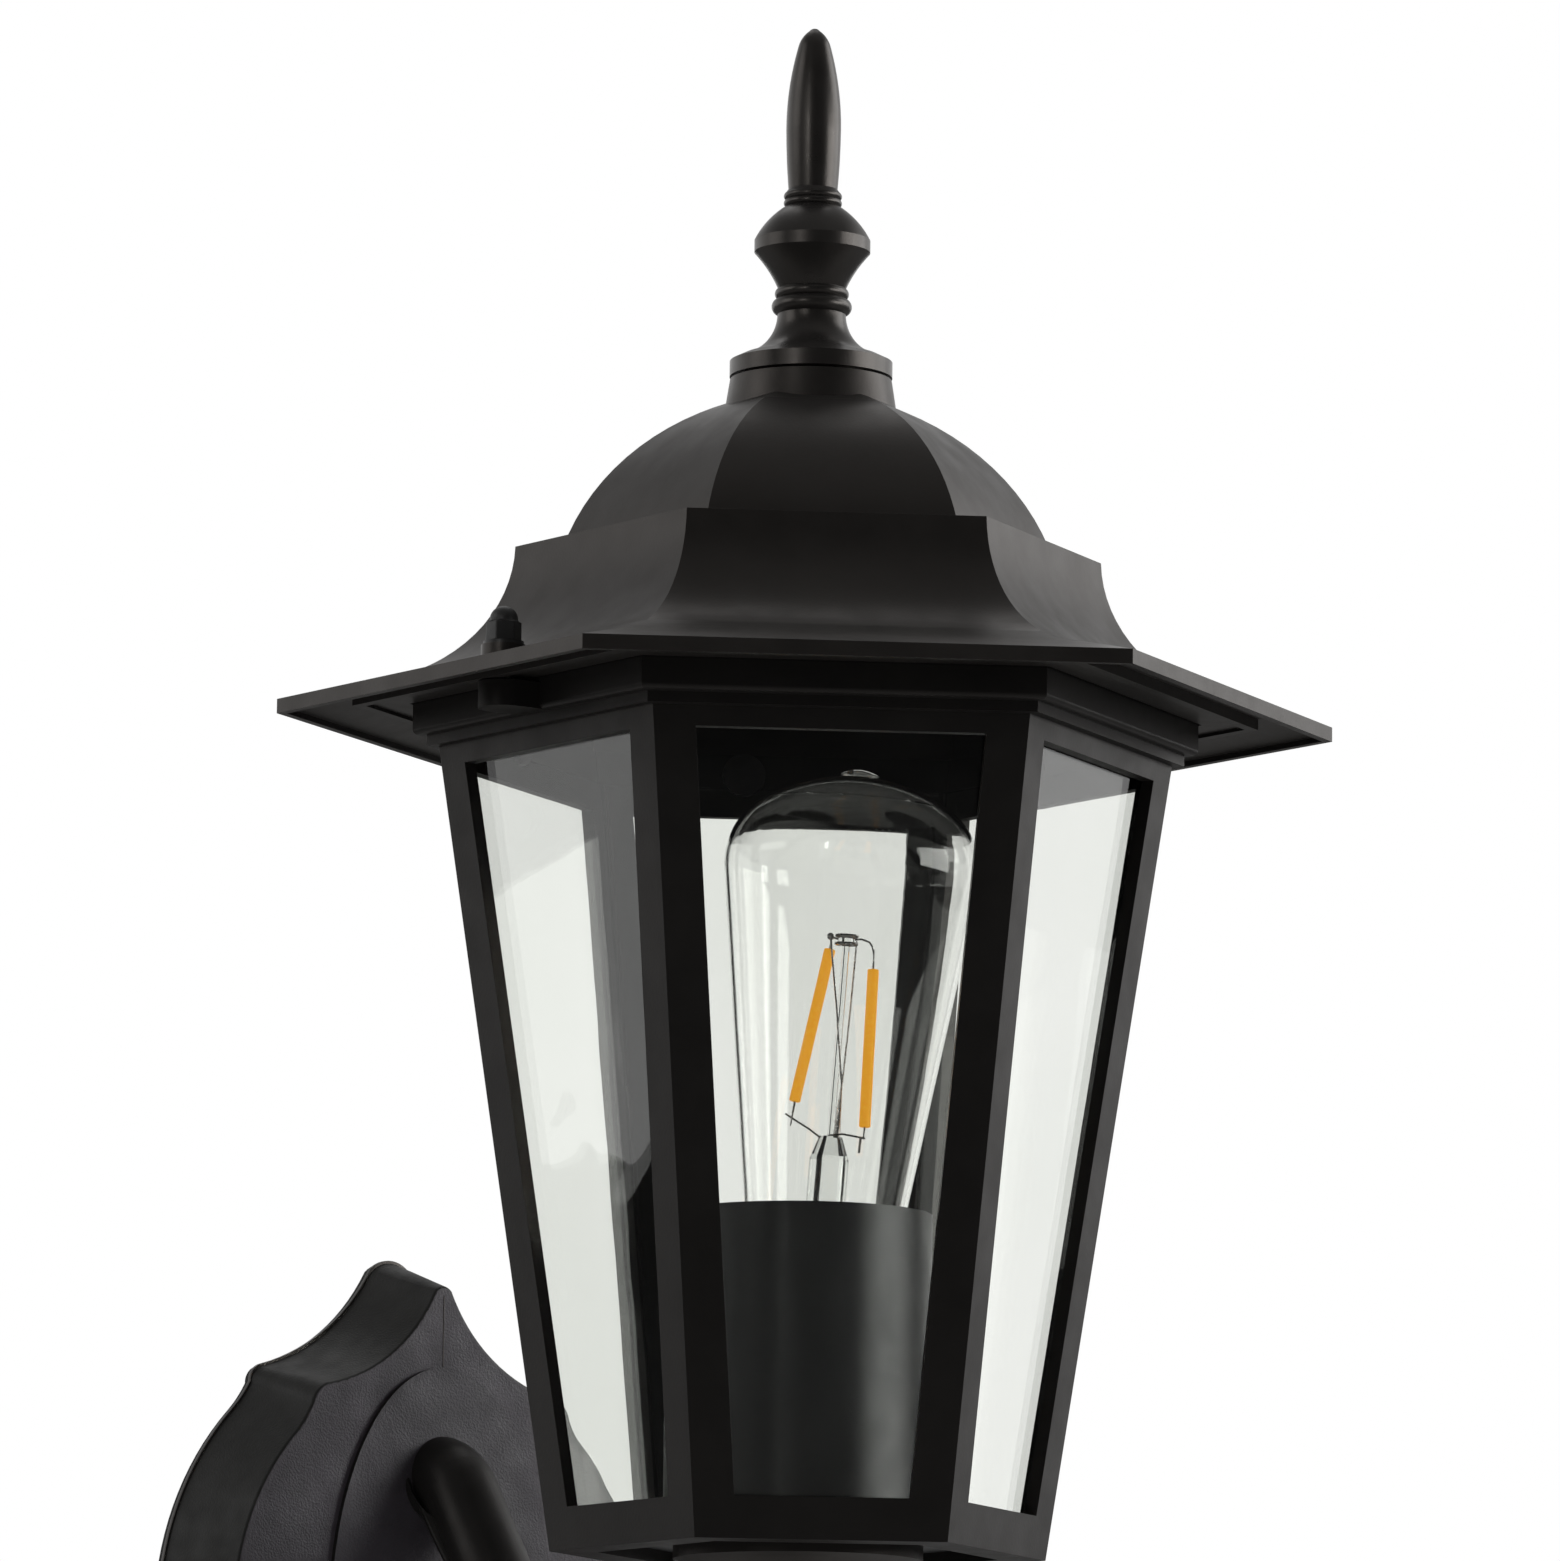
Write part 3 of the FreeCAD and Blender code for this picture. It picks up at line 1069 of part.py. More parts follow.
# Gasket, mounting bar, studs and cap nuts, terminal block and earth screw
def make_wall_fixing():
    body = new_body("wall_gasket")
    ring = draw(body, "gasket_ring", "XZ_Plane", [ogee("rear", "dim.gasket_setback"), hollow_ogee()])
    extrude(body, "Pad", ring, "dim.gasket_thick")
    keep("wall_gasket", body, at_wall)

    bar = box("bar_blank", "2 * " + bar_half, "dim.bar_thick", "dim.bar_tall", "-" + bar_half,
              "-dim.bar_thick", "-dim.bar_tall / 2")
    through = "dim.bar_thick + 2 * dim.overrun"
    stud_fit = "dim.stud_radius + dim.running_gap"
    holes = [cylinder("earth_hole", stud_fit, through, "dim.earth_screw_reach", "dim.overrun", turn="0; 0; 90")]
    studs = []
    nuts = []
    for side, sign in (("left", "-"), ("right", "")):
        holes.append(cylinder("bar_hole_" + side, "dim.bar_hole_radius", through, sign + "dim.bar_hole_reach",
                              "dim.overrun", turn="0; 0; 90"))
        holes.append(cylinder("bar_stud_hole_" + side, stud_fit, through, sign + plate_stud_reach,
                              "dim.overrun", turn="0; 0; 90"))
        studs.append(cylinder("plate_stud_" + side, "dim.stud_radius",
                              "dim.plate_front + dim.cap_nut_bore - dim.free_gap",
                              sign + plate_stud_reach, turn="0; 0; 90"))
        nuts.append(move(cap_nut("plate_nut_" + side), sign + plate_stud_reach, "-dim.plate_front",
                         turn="0; 0; 90"))
    keep("mounting_bar", cut("mounting_bar", bar, holes), at_wall)
    keep("plate_studs", group("plate_studs", studs), at_wall)
    keep("plate_nuts", group("plate_nuts", nuts), at_wall)

    block = new_body("terminal_block")
    edge = "dim.block_chamfer"
    half = "dim.block_tall / 2"
    deep = "-(dim.bar_thick + dim.block_deep)"
    section = draw(block, "block_section", "YZ_Plane", [[
        ("-dim.bar_thick", "-" + half),
        ("-dim.bar_thick", half),
        (deep + " + " + edge, half),
        (deep, half + " - " + edge),
        (deep, "%s - %s" % (edge, half)),
        (deep + " + " + edge, "-" + half),
    ]])
    extrude(block, "Pad", section, "dim.block_length", symmetric=True)
    ways = []
    for place, x in (("left", "-dim.block_pitch"), ("middle", "0"), ("right", "dim.block_pitch")):
        ways.append(cylinder("block_screw_" + place, "dim.block_screw_hole", "dim.block_deep / 2", x,
                             "-dim.bar_thick - dim.block_deep / 2", turn="0; 0; 90"))
        ways.append(cylinder("block_wire_" + place, "dim.block_wire_hole", "dim.block_tall", x,
                             "-dim.bar_thick - dim.block_deep / 2", "-" + half))
    keep("terminal_block", cut("terminal_block_bored", block, ways), at_wall)

    head = cylinder("earth_head", "dim.earth_screw_head_radius", "dim.earth_screw_head_thick", z="dim.bar_thick")
    shank = cylinder("earth_shank", "dim.stud_radius", "dim.bar_thick + dim.earth_screw_head_thick")
    keep("earth_screw", fuse("earth_screw", [head, shank]),
         "placement(vector(dim.earth_screw_reach; 0; 0); rotation(0; 0; 90))")


make_roof()
make_finial()
make_roof_fixing()
make_cage()
make_panes()
make_floor()
make_lampholder()
make_lamp()
make_arm()
make_wall_plate()
make_wall_fixing()
doc.recompute()

# Nothing is written unless every object and every piece is sound
for thing in doc.Objects:
    if "Invalid" in thing.State or "Error" in thing.State:
        raise RuntimeError("failed: " + thing.Name)
for label, piece in nodes.items():
    if piece.Shape.isNull() or not piece.Shape.isValid() or not piece.Shape.Solids:
        raise RuntimeError("unsound: " + label)

os.makedirs("parts", exist_ok=True)
for label, piece in nodes.items():
    piece.Shape.exportStep("parts/%s.step" % label)
print(len(nodes), "pieces")
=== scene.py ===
import math
import bpy
from mathutils import Euler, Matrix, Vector


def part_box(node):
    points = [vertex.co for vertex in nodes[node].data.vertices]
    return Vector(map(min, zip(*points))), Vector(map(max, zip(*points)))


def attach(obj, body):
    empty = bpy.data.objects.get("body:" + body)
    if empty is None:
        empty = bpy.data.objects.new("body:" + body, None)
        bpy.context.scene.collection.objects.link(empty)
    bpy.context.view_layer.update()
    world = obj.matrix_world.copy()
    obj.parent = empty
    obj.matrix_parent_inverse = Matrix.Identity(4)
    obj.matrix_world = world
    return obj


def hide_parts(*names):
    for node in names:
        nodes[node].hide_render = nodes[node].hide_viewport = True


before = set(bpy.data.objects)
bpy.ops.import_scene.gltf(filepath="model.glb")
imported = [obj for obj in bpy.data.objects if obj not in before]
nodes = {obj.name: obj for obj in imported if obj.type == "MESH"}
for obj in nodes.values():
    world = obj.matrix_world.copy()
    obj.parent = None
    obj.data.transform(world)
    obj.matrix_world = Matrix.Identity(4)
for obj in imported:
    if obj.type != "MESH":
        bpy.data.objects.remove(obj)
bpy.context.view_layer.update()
print("frame loaded:", len(nodes), "nodes")


# view and light
view = {
    "place": (-1.41383, -2.11191, -0.17427),
    "turn": (98.45289, -0.64628, -35.98781),  # degrees, XYZ
    "lens": 248.26,
    "sensor": 36.0,
    "reach": 60,
}
studio = {
    "floorDrop": 1.6,  # below the wall mount
    "floorHalf": 36,
    "floorPale": (0.86, 0.86, 0.855),
    "floorWarm": (0.82, 0.815, 0.80),
    "floorCloud": 1.2,
    "floorRough": 0.8,
    "floorFar": (0.12, 0.12, 0.12),  # its far part is dim to gloss
    "floorDim": (2.0, 18.0),
    "floorGlow": (1, 1, 0.995),
    "floorLift": (0.58, 0.98),  # paler to the eye, and white towards its edge
    "floorFade": (2.0, 20.0),
    "fill": 0.18,  # light of the surroundings on matt faces
    "backdrop": (0.588, 0.809, 0),  # where the white backdrop hangs
    "backdropSpan": (-0.35, 0.45),
    "backdropTop": (0.05, 0.8),
    "dimSide": 0.03,  # what gloss sees on the near side of the room
    "dimTop": 0.22,  # above the backdrop
    "ceiling": 0.2,
    "ceilingSpan": (0.45, 0.95),
    "sideGlow": 0.65,  # a soft patch to the left, which round pieces show as a band
    "sideToward": (-0.914, -0.407, 0.15),
    "sideSpan": (0.93, 0.99),
    "lamps": {
        "leftSoftbox": {"place": (-1.9, 0.7, 1.1), "size": (1.2, 1.2), "power": 6.5},
        "rightSoftbox": {"place": (1.9, -0.7, 1.0), "size": (1.3, 1.3), "power": 11},
        "frontSoftbox": {"place": (1.6, -1.85, 0.45), "size": (1.4, 0.9), "power": 18},
        "topSoftbox": {"place": (0.6, 0.9, 2.2), "size": (1.4, 1.4), "power": 5},
        "leftStrip": {"place": (-1.9, -1.27, 0.85), "size": (0.14, 0.8), "power": 2.2},
    },
    "aim": (0, -0.168, 0.15),
}


def ranged(tree, value, numbers, smooth=False):  # from low, from high, to low, to high
    span = tree.nodes.new("ShaderNodeMapRange")
    if smooth:
        span.interpolation_type = "SMOOTHSTEP"
    for socket, number in zip(("From Min", "From Max", "To Min", "To Max"), numbers):
        span.inputs[socket].default_value = number
    tree.links.new(value, span.inputs["Value"])
    return span.outputs["Result"]


def reckoned(tree, kind, one, other):  # other is a socket or a number
    node = tree.nodes.new("ShaderNodeMath")
    node.operation = kind
    tree.links.new(one, node.inputs[0])
    if isinstance(other, float):
        node.inputs[1].default_value = other
    else:
        tree.links.new(other, node.inputs[1])
    return node.outputs["Value"]


def aimAt(place, target):
    return (Vector(target) - Vector(place)).to_track_quat("-Z", "Y").to_euler()


def setCamera():
    lens = bpy.data.cameras.new("photoCamera")
    lens.lens = view["lens"]
    lens.sensor_width = view["sensor"]
    lens.sensor_fit = "HORIZONTAL"
    lens.clip_end = view["reach"]
    camera = bpy.data.objects.new("photoCamera", lens)
    camera.location = view["place"]
    camera.rotation_euler = [math.radians(angle) for angle in view["turn"]]
    bpy.context.collection.objects.link(camera)
    bpy.context.scene.camera = camera


def setLamps():
    for name, lamp in studio["lamps"].items():
        light = bpy.data.lights.new(name, "AREA")
        light.shape = "RECTANGLE"
        light.size, light.size_y = lamp["size"]
        light.energy = lamp["power"]
        box = bpy.data.objects.new(name, light)
        box.location = lamp["place"]
        box.rotation_euler = aimAt(lamp["place"], studio["aim"])
        bpy.context.collection.objects.link(box)


def setWorld():
    world = bpy.data.worlds.new("paleRoom")
    bpy.context.scene.world = world
    world.use_nodes = True
    tree = world.node_tree
    tree.nodes.clear()
    path = tree.nodes.new("ShaderNodeLightPath")
    where = tree.nodes.new("ShaderNodeTexCoord").outputs["Generated"]

    def toward(direction):
        facing = tree.nodes.new("ShaderNodeVectorMath")
        facing.operation = "DOT_PRODUCT"
        facing.inputs[1].default_value = Vector(direction).normalized()
        tree.links.new(where, facing.inputs[0])
        return facing.outputs["Value"]

    def fade(value, span, low, high):
        return ranged(tree, value, (*span, low, high), smooth=True)

    def pick(choice, no, yes):
        mix = tree.nodes.new("ShaderNodeMix")
        mix.data_type = "FLOAT"
        tree.links.new(choice, mix.inputs["Factor"])
        for socket, value in (("A", no), ("B", yes)):
            if isinstance(value, float):
                mix.inputs[socket].default_value = value
            else:
                tree.links.new(value, mix.inputs[socket])
        return mix.outputs["Result"]

    split = tree.nodes.new("ShaderNodeSeparateXYZ")
    tree.links.new(where, split.inputs["Vector"])
    height = split.outputs["Z"]
    across = fade(toward(studio["backdrop"]), studio["backdropSpan"], studio["dimSide"], 1.0)
    upward = fade(height, studio["backdropTop"], 1.0, studio["dimTop"])
    ceiling = fade(height, studio["ceilingSpan"], 0.0, studio["ceiling"])
    patch = fade(toward(studio["sideToward"]), studio["sideSpan"], 0.0, studio["sideGlow"])
    glow = reckoned(tree, "MULTIPLY", across, upward)
    for other in (ceiling, patch):
        glow = reckoned(tree, "MAXIMUM", glow, other)
    inGloss = fade(path.outputs["Glossy Depth"], (0.0, 1.0), 0.0, 1.0)
    onMatt = fade(path.outputs["Diffuse Depth"], (0.0, 1.0), 0.0, 1.0)
    strength = pick(onMatt, pick(inGloss, 1.0, glow), studio["fill"])  # plain white when looked at
    sky = tree.nodes.new("ShaderNodeBackground")
    sky.inputs["Color"].default_value = (1, 1, 1, 1)
    tree.links.new(strength, sky.inputs["Strength"])
    out = tree.nodes.new("ShaderNodeOutputWorld")
    tree.links.new(sky.outputs["Background"], out.inputs["Surface"])


# finishes
weave = {  # how fine the noises of the finishes are
    "tone": (4.0, 0.6),  # detail and roughness
    "wornScale": 2.3,
    "wornDetail": 3.0,
    "grainDetail": 2.0,
    "cloudDetail": 2.0,
    "hazeScale": 5,
    "hazeDetail": 3.0,
    "span": (0.3, 0.7),  # part of a noise that is spread over roughness
    "blend": (0.35, 0.65),  # and over colour
}


def newFinish(name):
    material = bpy.data.materials.new(name)
    material.use_nodes = True
    return material, material.node_tree, material.node_tree.nodes["Principled BSDF"]


def noiseFrom(tree, scale, detail=3.0, rough=0.5):
    where = tree.nodes.new("ShaderNodeTexCoord")
    noise = tree.nodes.new("ShaderNodeTexNoise")
    noise.inputs["Scale"].default_value = scale
    noise.inputs["Detail"].default_value = detail
    noise.inputs["Roughness"].default_value = rough
    tree.links.new(where.outputs["Object"], noise.inputs["Vector"])
    return noise.outputs["Fac"]


def blendColour(tree, factor, low, high, socket):
    ramp = tree.nodes.new("ShaderNodeValToRGB")
    for stop, position, colour in zip(ramp.color_ramp.elements, weave["blend"], (low, high)):
        stop.position = position
        stop.color = (*colour, 1)
    tree.links.new(factor, ramp.inputs["Fac"])
    tree.links.new(ramp.outputs["Color"], socket)


def spread(tree, factor, ends, socket):
    tree.links.new(ranged(tree, factor, (*weave["span"], *ends)), socket)


def grain(tree, shader, factor, look):
    bump = tree.nodes.new("ShaderNodeBump")
    bump.inputs["Strength"].default_value = look["relief"]
    bump.inputs["Distance"].default_value = look["depth"]
    tree.links.new(factor, bump.inputs["Height"])
    tree.links.new(bump.outputs["Normal"], shader.inputs["Normal"])


def coated(name, look):
    material, tree, shader = newFinish(name)
    tone = noiseFrom(tree, look["mottle"], *weave["tone"])
    blendColour(tree, tone, look["dark"], look["light"], shader.inputs["Base Color"])
    worn = noiseFrom(tree, look["mottle"] * weave["wornScale"], weave["wornDetail"])
    spread(tree, worn, look["rough"], shader.inputs["Roughness"])
    grain(tree, shader, noiseFrom(tree, look["grain"], weave["grainDetail"]), look)
    shader.inputs["Metallic"].default_value = look.get("metal", 0.0)
    shader.inputs["Specular IOR Level"].default_value = look.get("gloss", 0.5)
    shader.inputs["Specular Tint"].default_value = (*look.get("sheen", (1, 1, 1)), 1)
    # emission on an unlit part is a painted glow
    if "glow" in look:
        shader.inputs["Emission Color"].default_value = (*look["glow"], 1)
        shader.inputs["Emission Strength"].default_value = look["glowStrength"]
    return material


def clear(name, look):
    material, tree, shader = newFinish(name)
    tone = noiseFrom(tree, look["cloud"], weave["cloudDetail"])
    blendColour(tree, tone, look["low"], look["high"], shader.inputs["Base Color"])
    haze = noiseFrom(tree, look["cloud"] * weave["hazeScale"], weave["hazeDetail"])
    spread(tree, haze, look["rough"], shader.inputs["Roughness"])
    shader.inputs["Transmission Weight"].default_value = 1.0
    shader.inputs["IOR"].default_value = look["bend"]
    if "wave" in look:
        grain(tree, shader, noiseFrom(tree, look["wave"], weave["grainDetail"]), look)
    return material


coats = {
    "castingCoat": {"dark": (0.006, 0.0056, 0.0054), "light": (0.0098, 0.0092, 0.0088),
                    "mottle": 45, "grain": 1500, "rough": (0.33, 0.43), "relief": 0.1, "depth": 0.0002,
                    "gloss": 0.54, "sheen": (1, 0.905, 0.83)},
    "finialCoat": {"dark": (0.0065, 0.006, 0.0058), "light": (0.0105, 0.0098, 0.0094),
                   "mottle": 60, "grain": 1500, "rough": (0.26, 0.36), "relief": 0.08, "depth": 0.0002,
                   "gloss": 0.6, "sheen": (1, 0.92, 0.85)},
    "cageCoat": {"dark": (0.006, 0.0056, 0.0054), "light": (0.0098, 0.0092, 0.0088),
                 "mottle": 45, "grain": 1500, "rough": (0.35, 0.45), "relief": 0.1, "depth": 0.0002,
                 "gloss": 0.28, "sheen": (1, 0.93, 0.88)},
    "plateCoat": {"dark": (0.039, 0.034, 0.0413), "light": (0.064, 0.056, 0.0675),
                  "mottle": 60, "grain": 1900, "rough": (0.44, 0.58), "relief": 0.45, "depth": 0.0003},
    # a darker copy of plateCoat for the plate's flanks: painted shade
    "plateSidePaintedShade": {"dark": (0.012, 0.0118, 0.0105), "light": (0.02, 0.0195, 0.018),
                      "mottle": 60, "grain": 1900, "rough": (0.44, 0.58), "relief": 0.3, "depth": 0.0003,
                      "gloss": 0.3},
    # the plate's own grained coat on the foot, darkened as painted shade
    "footCoatAndShade": {"dark": (0.031, 0.0272, 0.0328), "light": (0.051, 0.045, 0.054),
                 "mottle": 60, "grain": 1900, "rough": (0.44, 0.58), "relief": 0.45, "depth": 0.0003},
    "nutCoat": {"dark": (0.010, 0.010, 0.010), "light": (0.02, 0.0195, 0.019),
                "mottle": 160, "grain": 2500, "rough": (0.34, 0.5), "relief": 0.2, "depth": 0.0001},
    "clipCoat": {"dark": (0.02, 0.02, 0.02), "light": (0.04, 0.04, 0.042),
                 "mottle": 120, "grain": 2000, "rough": (0.4, 0.55), "relief": 0.2, "depth": 0.0001},
    "sleeveCoat": {"dark": (0.015, 0.0157, 0.0165), "light": (0.022, 0.0228, 0.0238),
                   "mottle": 70, "grain": 1700, "rough": (0.36, 0.46), "relief": 0.04, "depth": 0.0001,
                   "gloss": 0.76},
    "zincPlate": {"dark": (0.5, 0.51, 0.53), "light": (0.68, 0.68, 0.66),
                  "mottle": 220, "grain": 3000, "rough": (0.22, 0.42), "relief": 0.15, "depth": 0.0001,
                  "metal": 1.0},
    "holderMould": {"dark": (0.022, 0.022, 0.023), "light": (0.034, 0.034, 0.035),
                    "mottle": 90, "grain": 2600, "rough": (0.5, 0.66), "relief": 0.3, "depth": 0.0001},
    "brassPart": {"dark": (0.55, 0.36, 0.12), "light": (0.74, 0.53, 0.24),
                  "mottle": 150, "grain": 2200, "rough": (0.25, 0.45), "relief": 0.12, "depth": 0.0001,
                  "metal": 1.0},
    "lampShellMetal": {"dark": (0.58, 0.58, 0.57), "light": (0.74, 0.74, 0.73),
                       "mottle": 180, "grain": 2600, "rough": (0.22, 0.38), "relief": 0.12, "depth": 0.0001,
                       "metal": 1.0},
    "lampBlackGlass": {"dark": (0.012, 0.012, 0.014), "light": (0.03, 0.03, 0.034),
                       "mottle": 140, "grain": 1500, "rough": (0.08, 0.2), "relief": 0.05, "depth": 0.0001},
    # the unlit filaments are given a painted glow
    "filamentSilicone": {"dark": (0.94, 0.38, 0.015), "light": (1.0, 0.47, 0.035),
                         "mottle": 900, "grain": 2600, "rough": (0.4, 0.55), "relief": 0.3, "depth": 0.0001,
                         "glow": (1.0, 0.44, 0.03), "glowStrength": 0.7},
    "leadNickel": {"dark": (0.52, 0.51, 0.5), "light": (0.72, 0.71, 0.7),
                   "mottle": 500, "grain": 4000, "rough": (0.2, 0.4), "relief": 0.1, "depth": 0.00005,
                   "metal": 1.0},
    "gasketRubber": {"dark": (0.02, 0.02, 0.02), "light": (0.035, 0.035, 0.034),
                     "mottle": 120, "grain": 1400, "rough": (0.7, 0.85), "relief": 0.4, "depth": 0.0003},
    "terminalMould": {"dark": (0.66, 0.65, 0.6), "light": (0.76, 0.75, 0.7),
                      "mottle": 130, "grain": 1800, "rough": (0.42, 0.56), "relief": 0.15, "depth": 0.0001},
}
glasses = {
    "paneGlass": {"low": (0.925, 0.94, 0.91), "high": (0.95, 0.96, 0.935), "cloud": 14,
                  "rough": (0.0, 0.012), "bend": 1.5, "wave": 22, "relief": 0.08, "depth": 0.002},
    "lampGlass": {"low": (0.992, 0.993, 0.986), "high": (0.998, 0.998, 0.995), "cloud": 40,
                  "rough": (0.0, 0.01), "bend": 1.47},
    "stemGlass": {"low": (0.93, 0.94, 0.93), "high": (0.97, 0.975, 0.97), "cloud": 90,
                  "rough": (0.0, 0.04), "bend": 1.5},
}
wearers = {
    "castingCoat": ["roof_casting", "base_cup"],
    "cageCoat": ["cage_casting", "arm_casting"],
    "finialCoat": ["finial"],
    "plateCoat": ["wall_plate"],
    "nutCoat": ["cap_nut_left", "cap_nut_right", "plate_nuts", "nut_washers"],
    "clipCoat": ["pane_clips"],
    "sleeveCoat": ["lamp_sleeve", "floor_plate"],
    "zincPlate": ["roof_studs", "finial_stud", "finial_nut", "finial_washer", "lock_nut", "lock_washer",
                  "arm_screws", "mounting_bar", "plate_studs", "lamp_bracket", "lamp_nipple", "nipple_nut"],
    "holderMould": ["lampholder_body"],
    "brassPart": ["screw_shell", "centre_contact", "earth_screw"],
    "lampShellMetal": ["lamp_cap", "lamp_contact"],
    "lampBlackGlass": ["lamp_insulator"],
    "filamentSilicone": ["lamp_filaments"],
    "leadNickel": ["lamp_wires"],
    "gasketRubber": ["wall_gasket"],
    "terminalMould": ["terminal_block"],
    "paneGlass": ["glass_pane_front_left", "glass_pane_front_right", "glass_pane_right",
                  "glass_pane_rear_right", "glass_pane_rear_left", "glass_pane_left"],
    "lampGlass": ["lamp_glass"],
    "stemGlass": ["lamp_stem"],
}


def paintNodes():
    finishes = {name: coated(name, look) for name, look in coats.items()}
    finishes.update({name: clear(name, look) for name, look in glasses.items()})
    for finish, wearing in wearers.items():
        for name in wearing:
            node = nodes[name]
            for place in node.material_slots:
                place.material = finishes[finish]
            if not node.material_slots:
                node.data.materials.append(finishes[finish])
    left = sorted(set(nodes) - {name for wearing in wearers.values() for name in wearing})
    print("nodes painted, without a finish:", left)
    return finishes


def layFloor():
    bpy.ops.object.select_all(action="DESELECT")
    bpy.ops.mesh.primitive_plane_add(size=2 * studio["floorHalf"], location=(0, 0, -studio["floorDrop"]))
    floor = bpy.context.object
    floor.name = "paleFloor"
    material, tree, shader = newFinish("paleFloor")
    where = tree.nodes.new("ShaderNodeTexCoord")
    away = tree.nodes.new("ShaderNodeVectorMath")
    away.operation = "LENGTH"
    tree.links.new(where.outputs["Object"], away.inputs[0])

    fading = tree.nodes.new("ShaderNodeMix")  # pale near the object, dim far out
    fading.data_type = "RGBA"
    near, far, mixed = [socket for socket in (*fading.inputs, *fading.outputs) if socket.type == "RGBA"]
    blendColour(tree, noiseFrom(tree, studio["floorCloud"]), studio["floorWarm"], studio["floorPale"], near)
    far.default_value = (*studio["floorFar"], 1)
    dim = ranged(tree, away.outputs["Value"], (*studio["floorDim"], 0, 1))
    tree.links.new(dim, fading.inputs["Factor"])
    tree.links.new(mixed, shader.inputs["Base Color"])
    shader.inputs["Roughness"].default_value = studio["floorRough"]
    shader.inputs["Specular IOR Level"].default_value = 0.0

    path = tree.nodes.new("ShaderNodeLightPath")  # lifted only where it is looked at, also through glass
    turns = reckoned(tree, "ADD", path.outputs["Glossy Depth"], path.outputs["Diffuse Depth"])
    direct = reckoned(tree, "LESS_THAN", turns, 0.5)  # one where no turn was made yet
    lift = ranged(tree, away.outputs["Value"], (*studio["floorFade"], *studio["floorLift"]))
    shader.inputs["Emission Color"].default_value = (*studio["floorGlow"], 1)
    tree.links.new(reckoned(tree, "MULTIPLY", lift, direct), shader.inputs["Emission Strength"])
    floor.data.materials.append(material)


# shaping in edit mode
mergeGap = 0.000002  # metres, for copies of the CAD meshes
endFacing = 0.9  # how squarely an end face looks along its axis
perMetre = 1000  # millimetres


def onlySelect(piece):
    bpy.ops.object.select_all(action="DESELECT")
    piece.select_set(True)
    bpy.context.view_layer.objects.active = piece


def choose(piece, kind, test):  # ends in edit mode with those parts selected
    bpy.ops.object.mode_set(mode="EDIT")
    bpy.ops.mesh.select_mode(type=kind)
    bpy.ops.mesh.select_all(action="DESELECT")
    bpy.ops.object.mode_set(mode="OBJECT")
    mesh = piece.data
    for part in {"VERT": mesh.vertices, "EDGE": mesh.edges, "FACE": mesh.polygons}[kind]:
        part.select = test(part)
    bpy.ops.object.mode_set(mode="EDIT")


def settle(piece, name, smooth=35):  # place and turn go into the mesh
    bpy.ops.object.mode_set(mode="OBJECT")
    onlySelect(piece)
    bpy.ops.object.transform_apply(location=True, rotation=True, scale=True)
    bpy.ops.object.mode_set(mode="EDIT")
    bpy.ops.mesh.select_all(action="SELECT")
    bpy.ops.mesh.normals_make_consistent(inside=False)
    bpy.ops.object.mode_set(mode="OBJECT")
    bpy.ops.object.shade_smooth_by_angle(angle=math.radians(smooth))
    piece.name = name
    piece.data.name = name
    return piece


def joined(parts, name):
    onlySelect(parts[0])
    for part in parts[1:]:
        part.select_set(True)
    bpy.ops.object.join()
    return settle(parts[0], name)


def loft(rings, sides, name, smooth):  # circles in a row, bridged and closed
    bpy.ops.object.select_all(action="DESELECT")
    for place, (middle, turn, radius) in enumerate(rings):
        bpy.ops.mesh.primitive_circle_add(vertices=sides, radius=radius, location=middle, rotation=turn)
        if place == 0:
            piece = bpy.context.object
            bpy.ops.object.mode_set(mode="EDIT")
    bpy.ops.mesh.select_all(action="SELECT")
    bpy.ops.mesh.bridge_edge_loops()
    bpy.ops.mesh.select_all(action="SELECT")
    bpy.ops.mesh.fill_holes(sides=0)
    return settle(piece, name, smooth)


def copyNode(node, name):  # ends in edit mode, all selected and merged
    piece = bpy.data.objects.new(name, nodes[node].data.copy())
    bpy.context.collection.objects.link(piece)
    onlySelect(piece)
    bpy.ops.object.mode_set(mode="EDIT")
    bpy.ops.mesh.select_all(action="SELECT")
    bpy.ops.mesh.remove_doubles(threshold=mergeGap)
    return piece


def easeEdges(piece, width, steps, corner):
    bpy.ops.object.mode_set(mode="OBJECT")
    bevel = piece.modifiers.new("ease", "BEVEL")
    bevel.width = width
    bevel.segments = steps
    bevel.limit_method = "ANGLE"
    bevel.angle_limit = math.radians(corner)
    bpy.ops.object.modifier_apply(modifier="ease")


def finishPiece(piece, finish, body, stands=()):
    piece.data.materials.clear()
    piece.data.materials.append(finishes[finish])
    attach(piece, body)
    for node in stands:
        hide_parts(node)


def leaning(start, end):
    return (end - start).to_track_quat("Z", "Y").to_euler()


# the lamp's own axes, millimetres above its contact
lampSeat = {"foot": (0.001835, -0.169733, 0.04512), "lean": 4.0, "heading": -36.0}


def inLamp(spot):
    moved = Vector(spot) / perMetre
    moved.rotate(Euler((0, math.radians(lampSeat["lean"]), math.radians(lampSeat["heading"]))))
    return moved + Vector(lampSeat["foot"])


filament = {
    "left": ((-8.8, 1.0, 64.5), (-3.6, 3.0, 99.8)),
    "right": ((7.4, -3.0, 59.5), (6.5, -1.0, 95.5)),
    "radius": 0.00128,
    "edge": 0.0003,
    "edgeSteps": 3,
    "sides": 24,
}


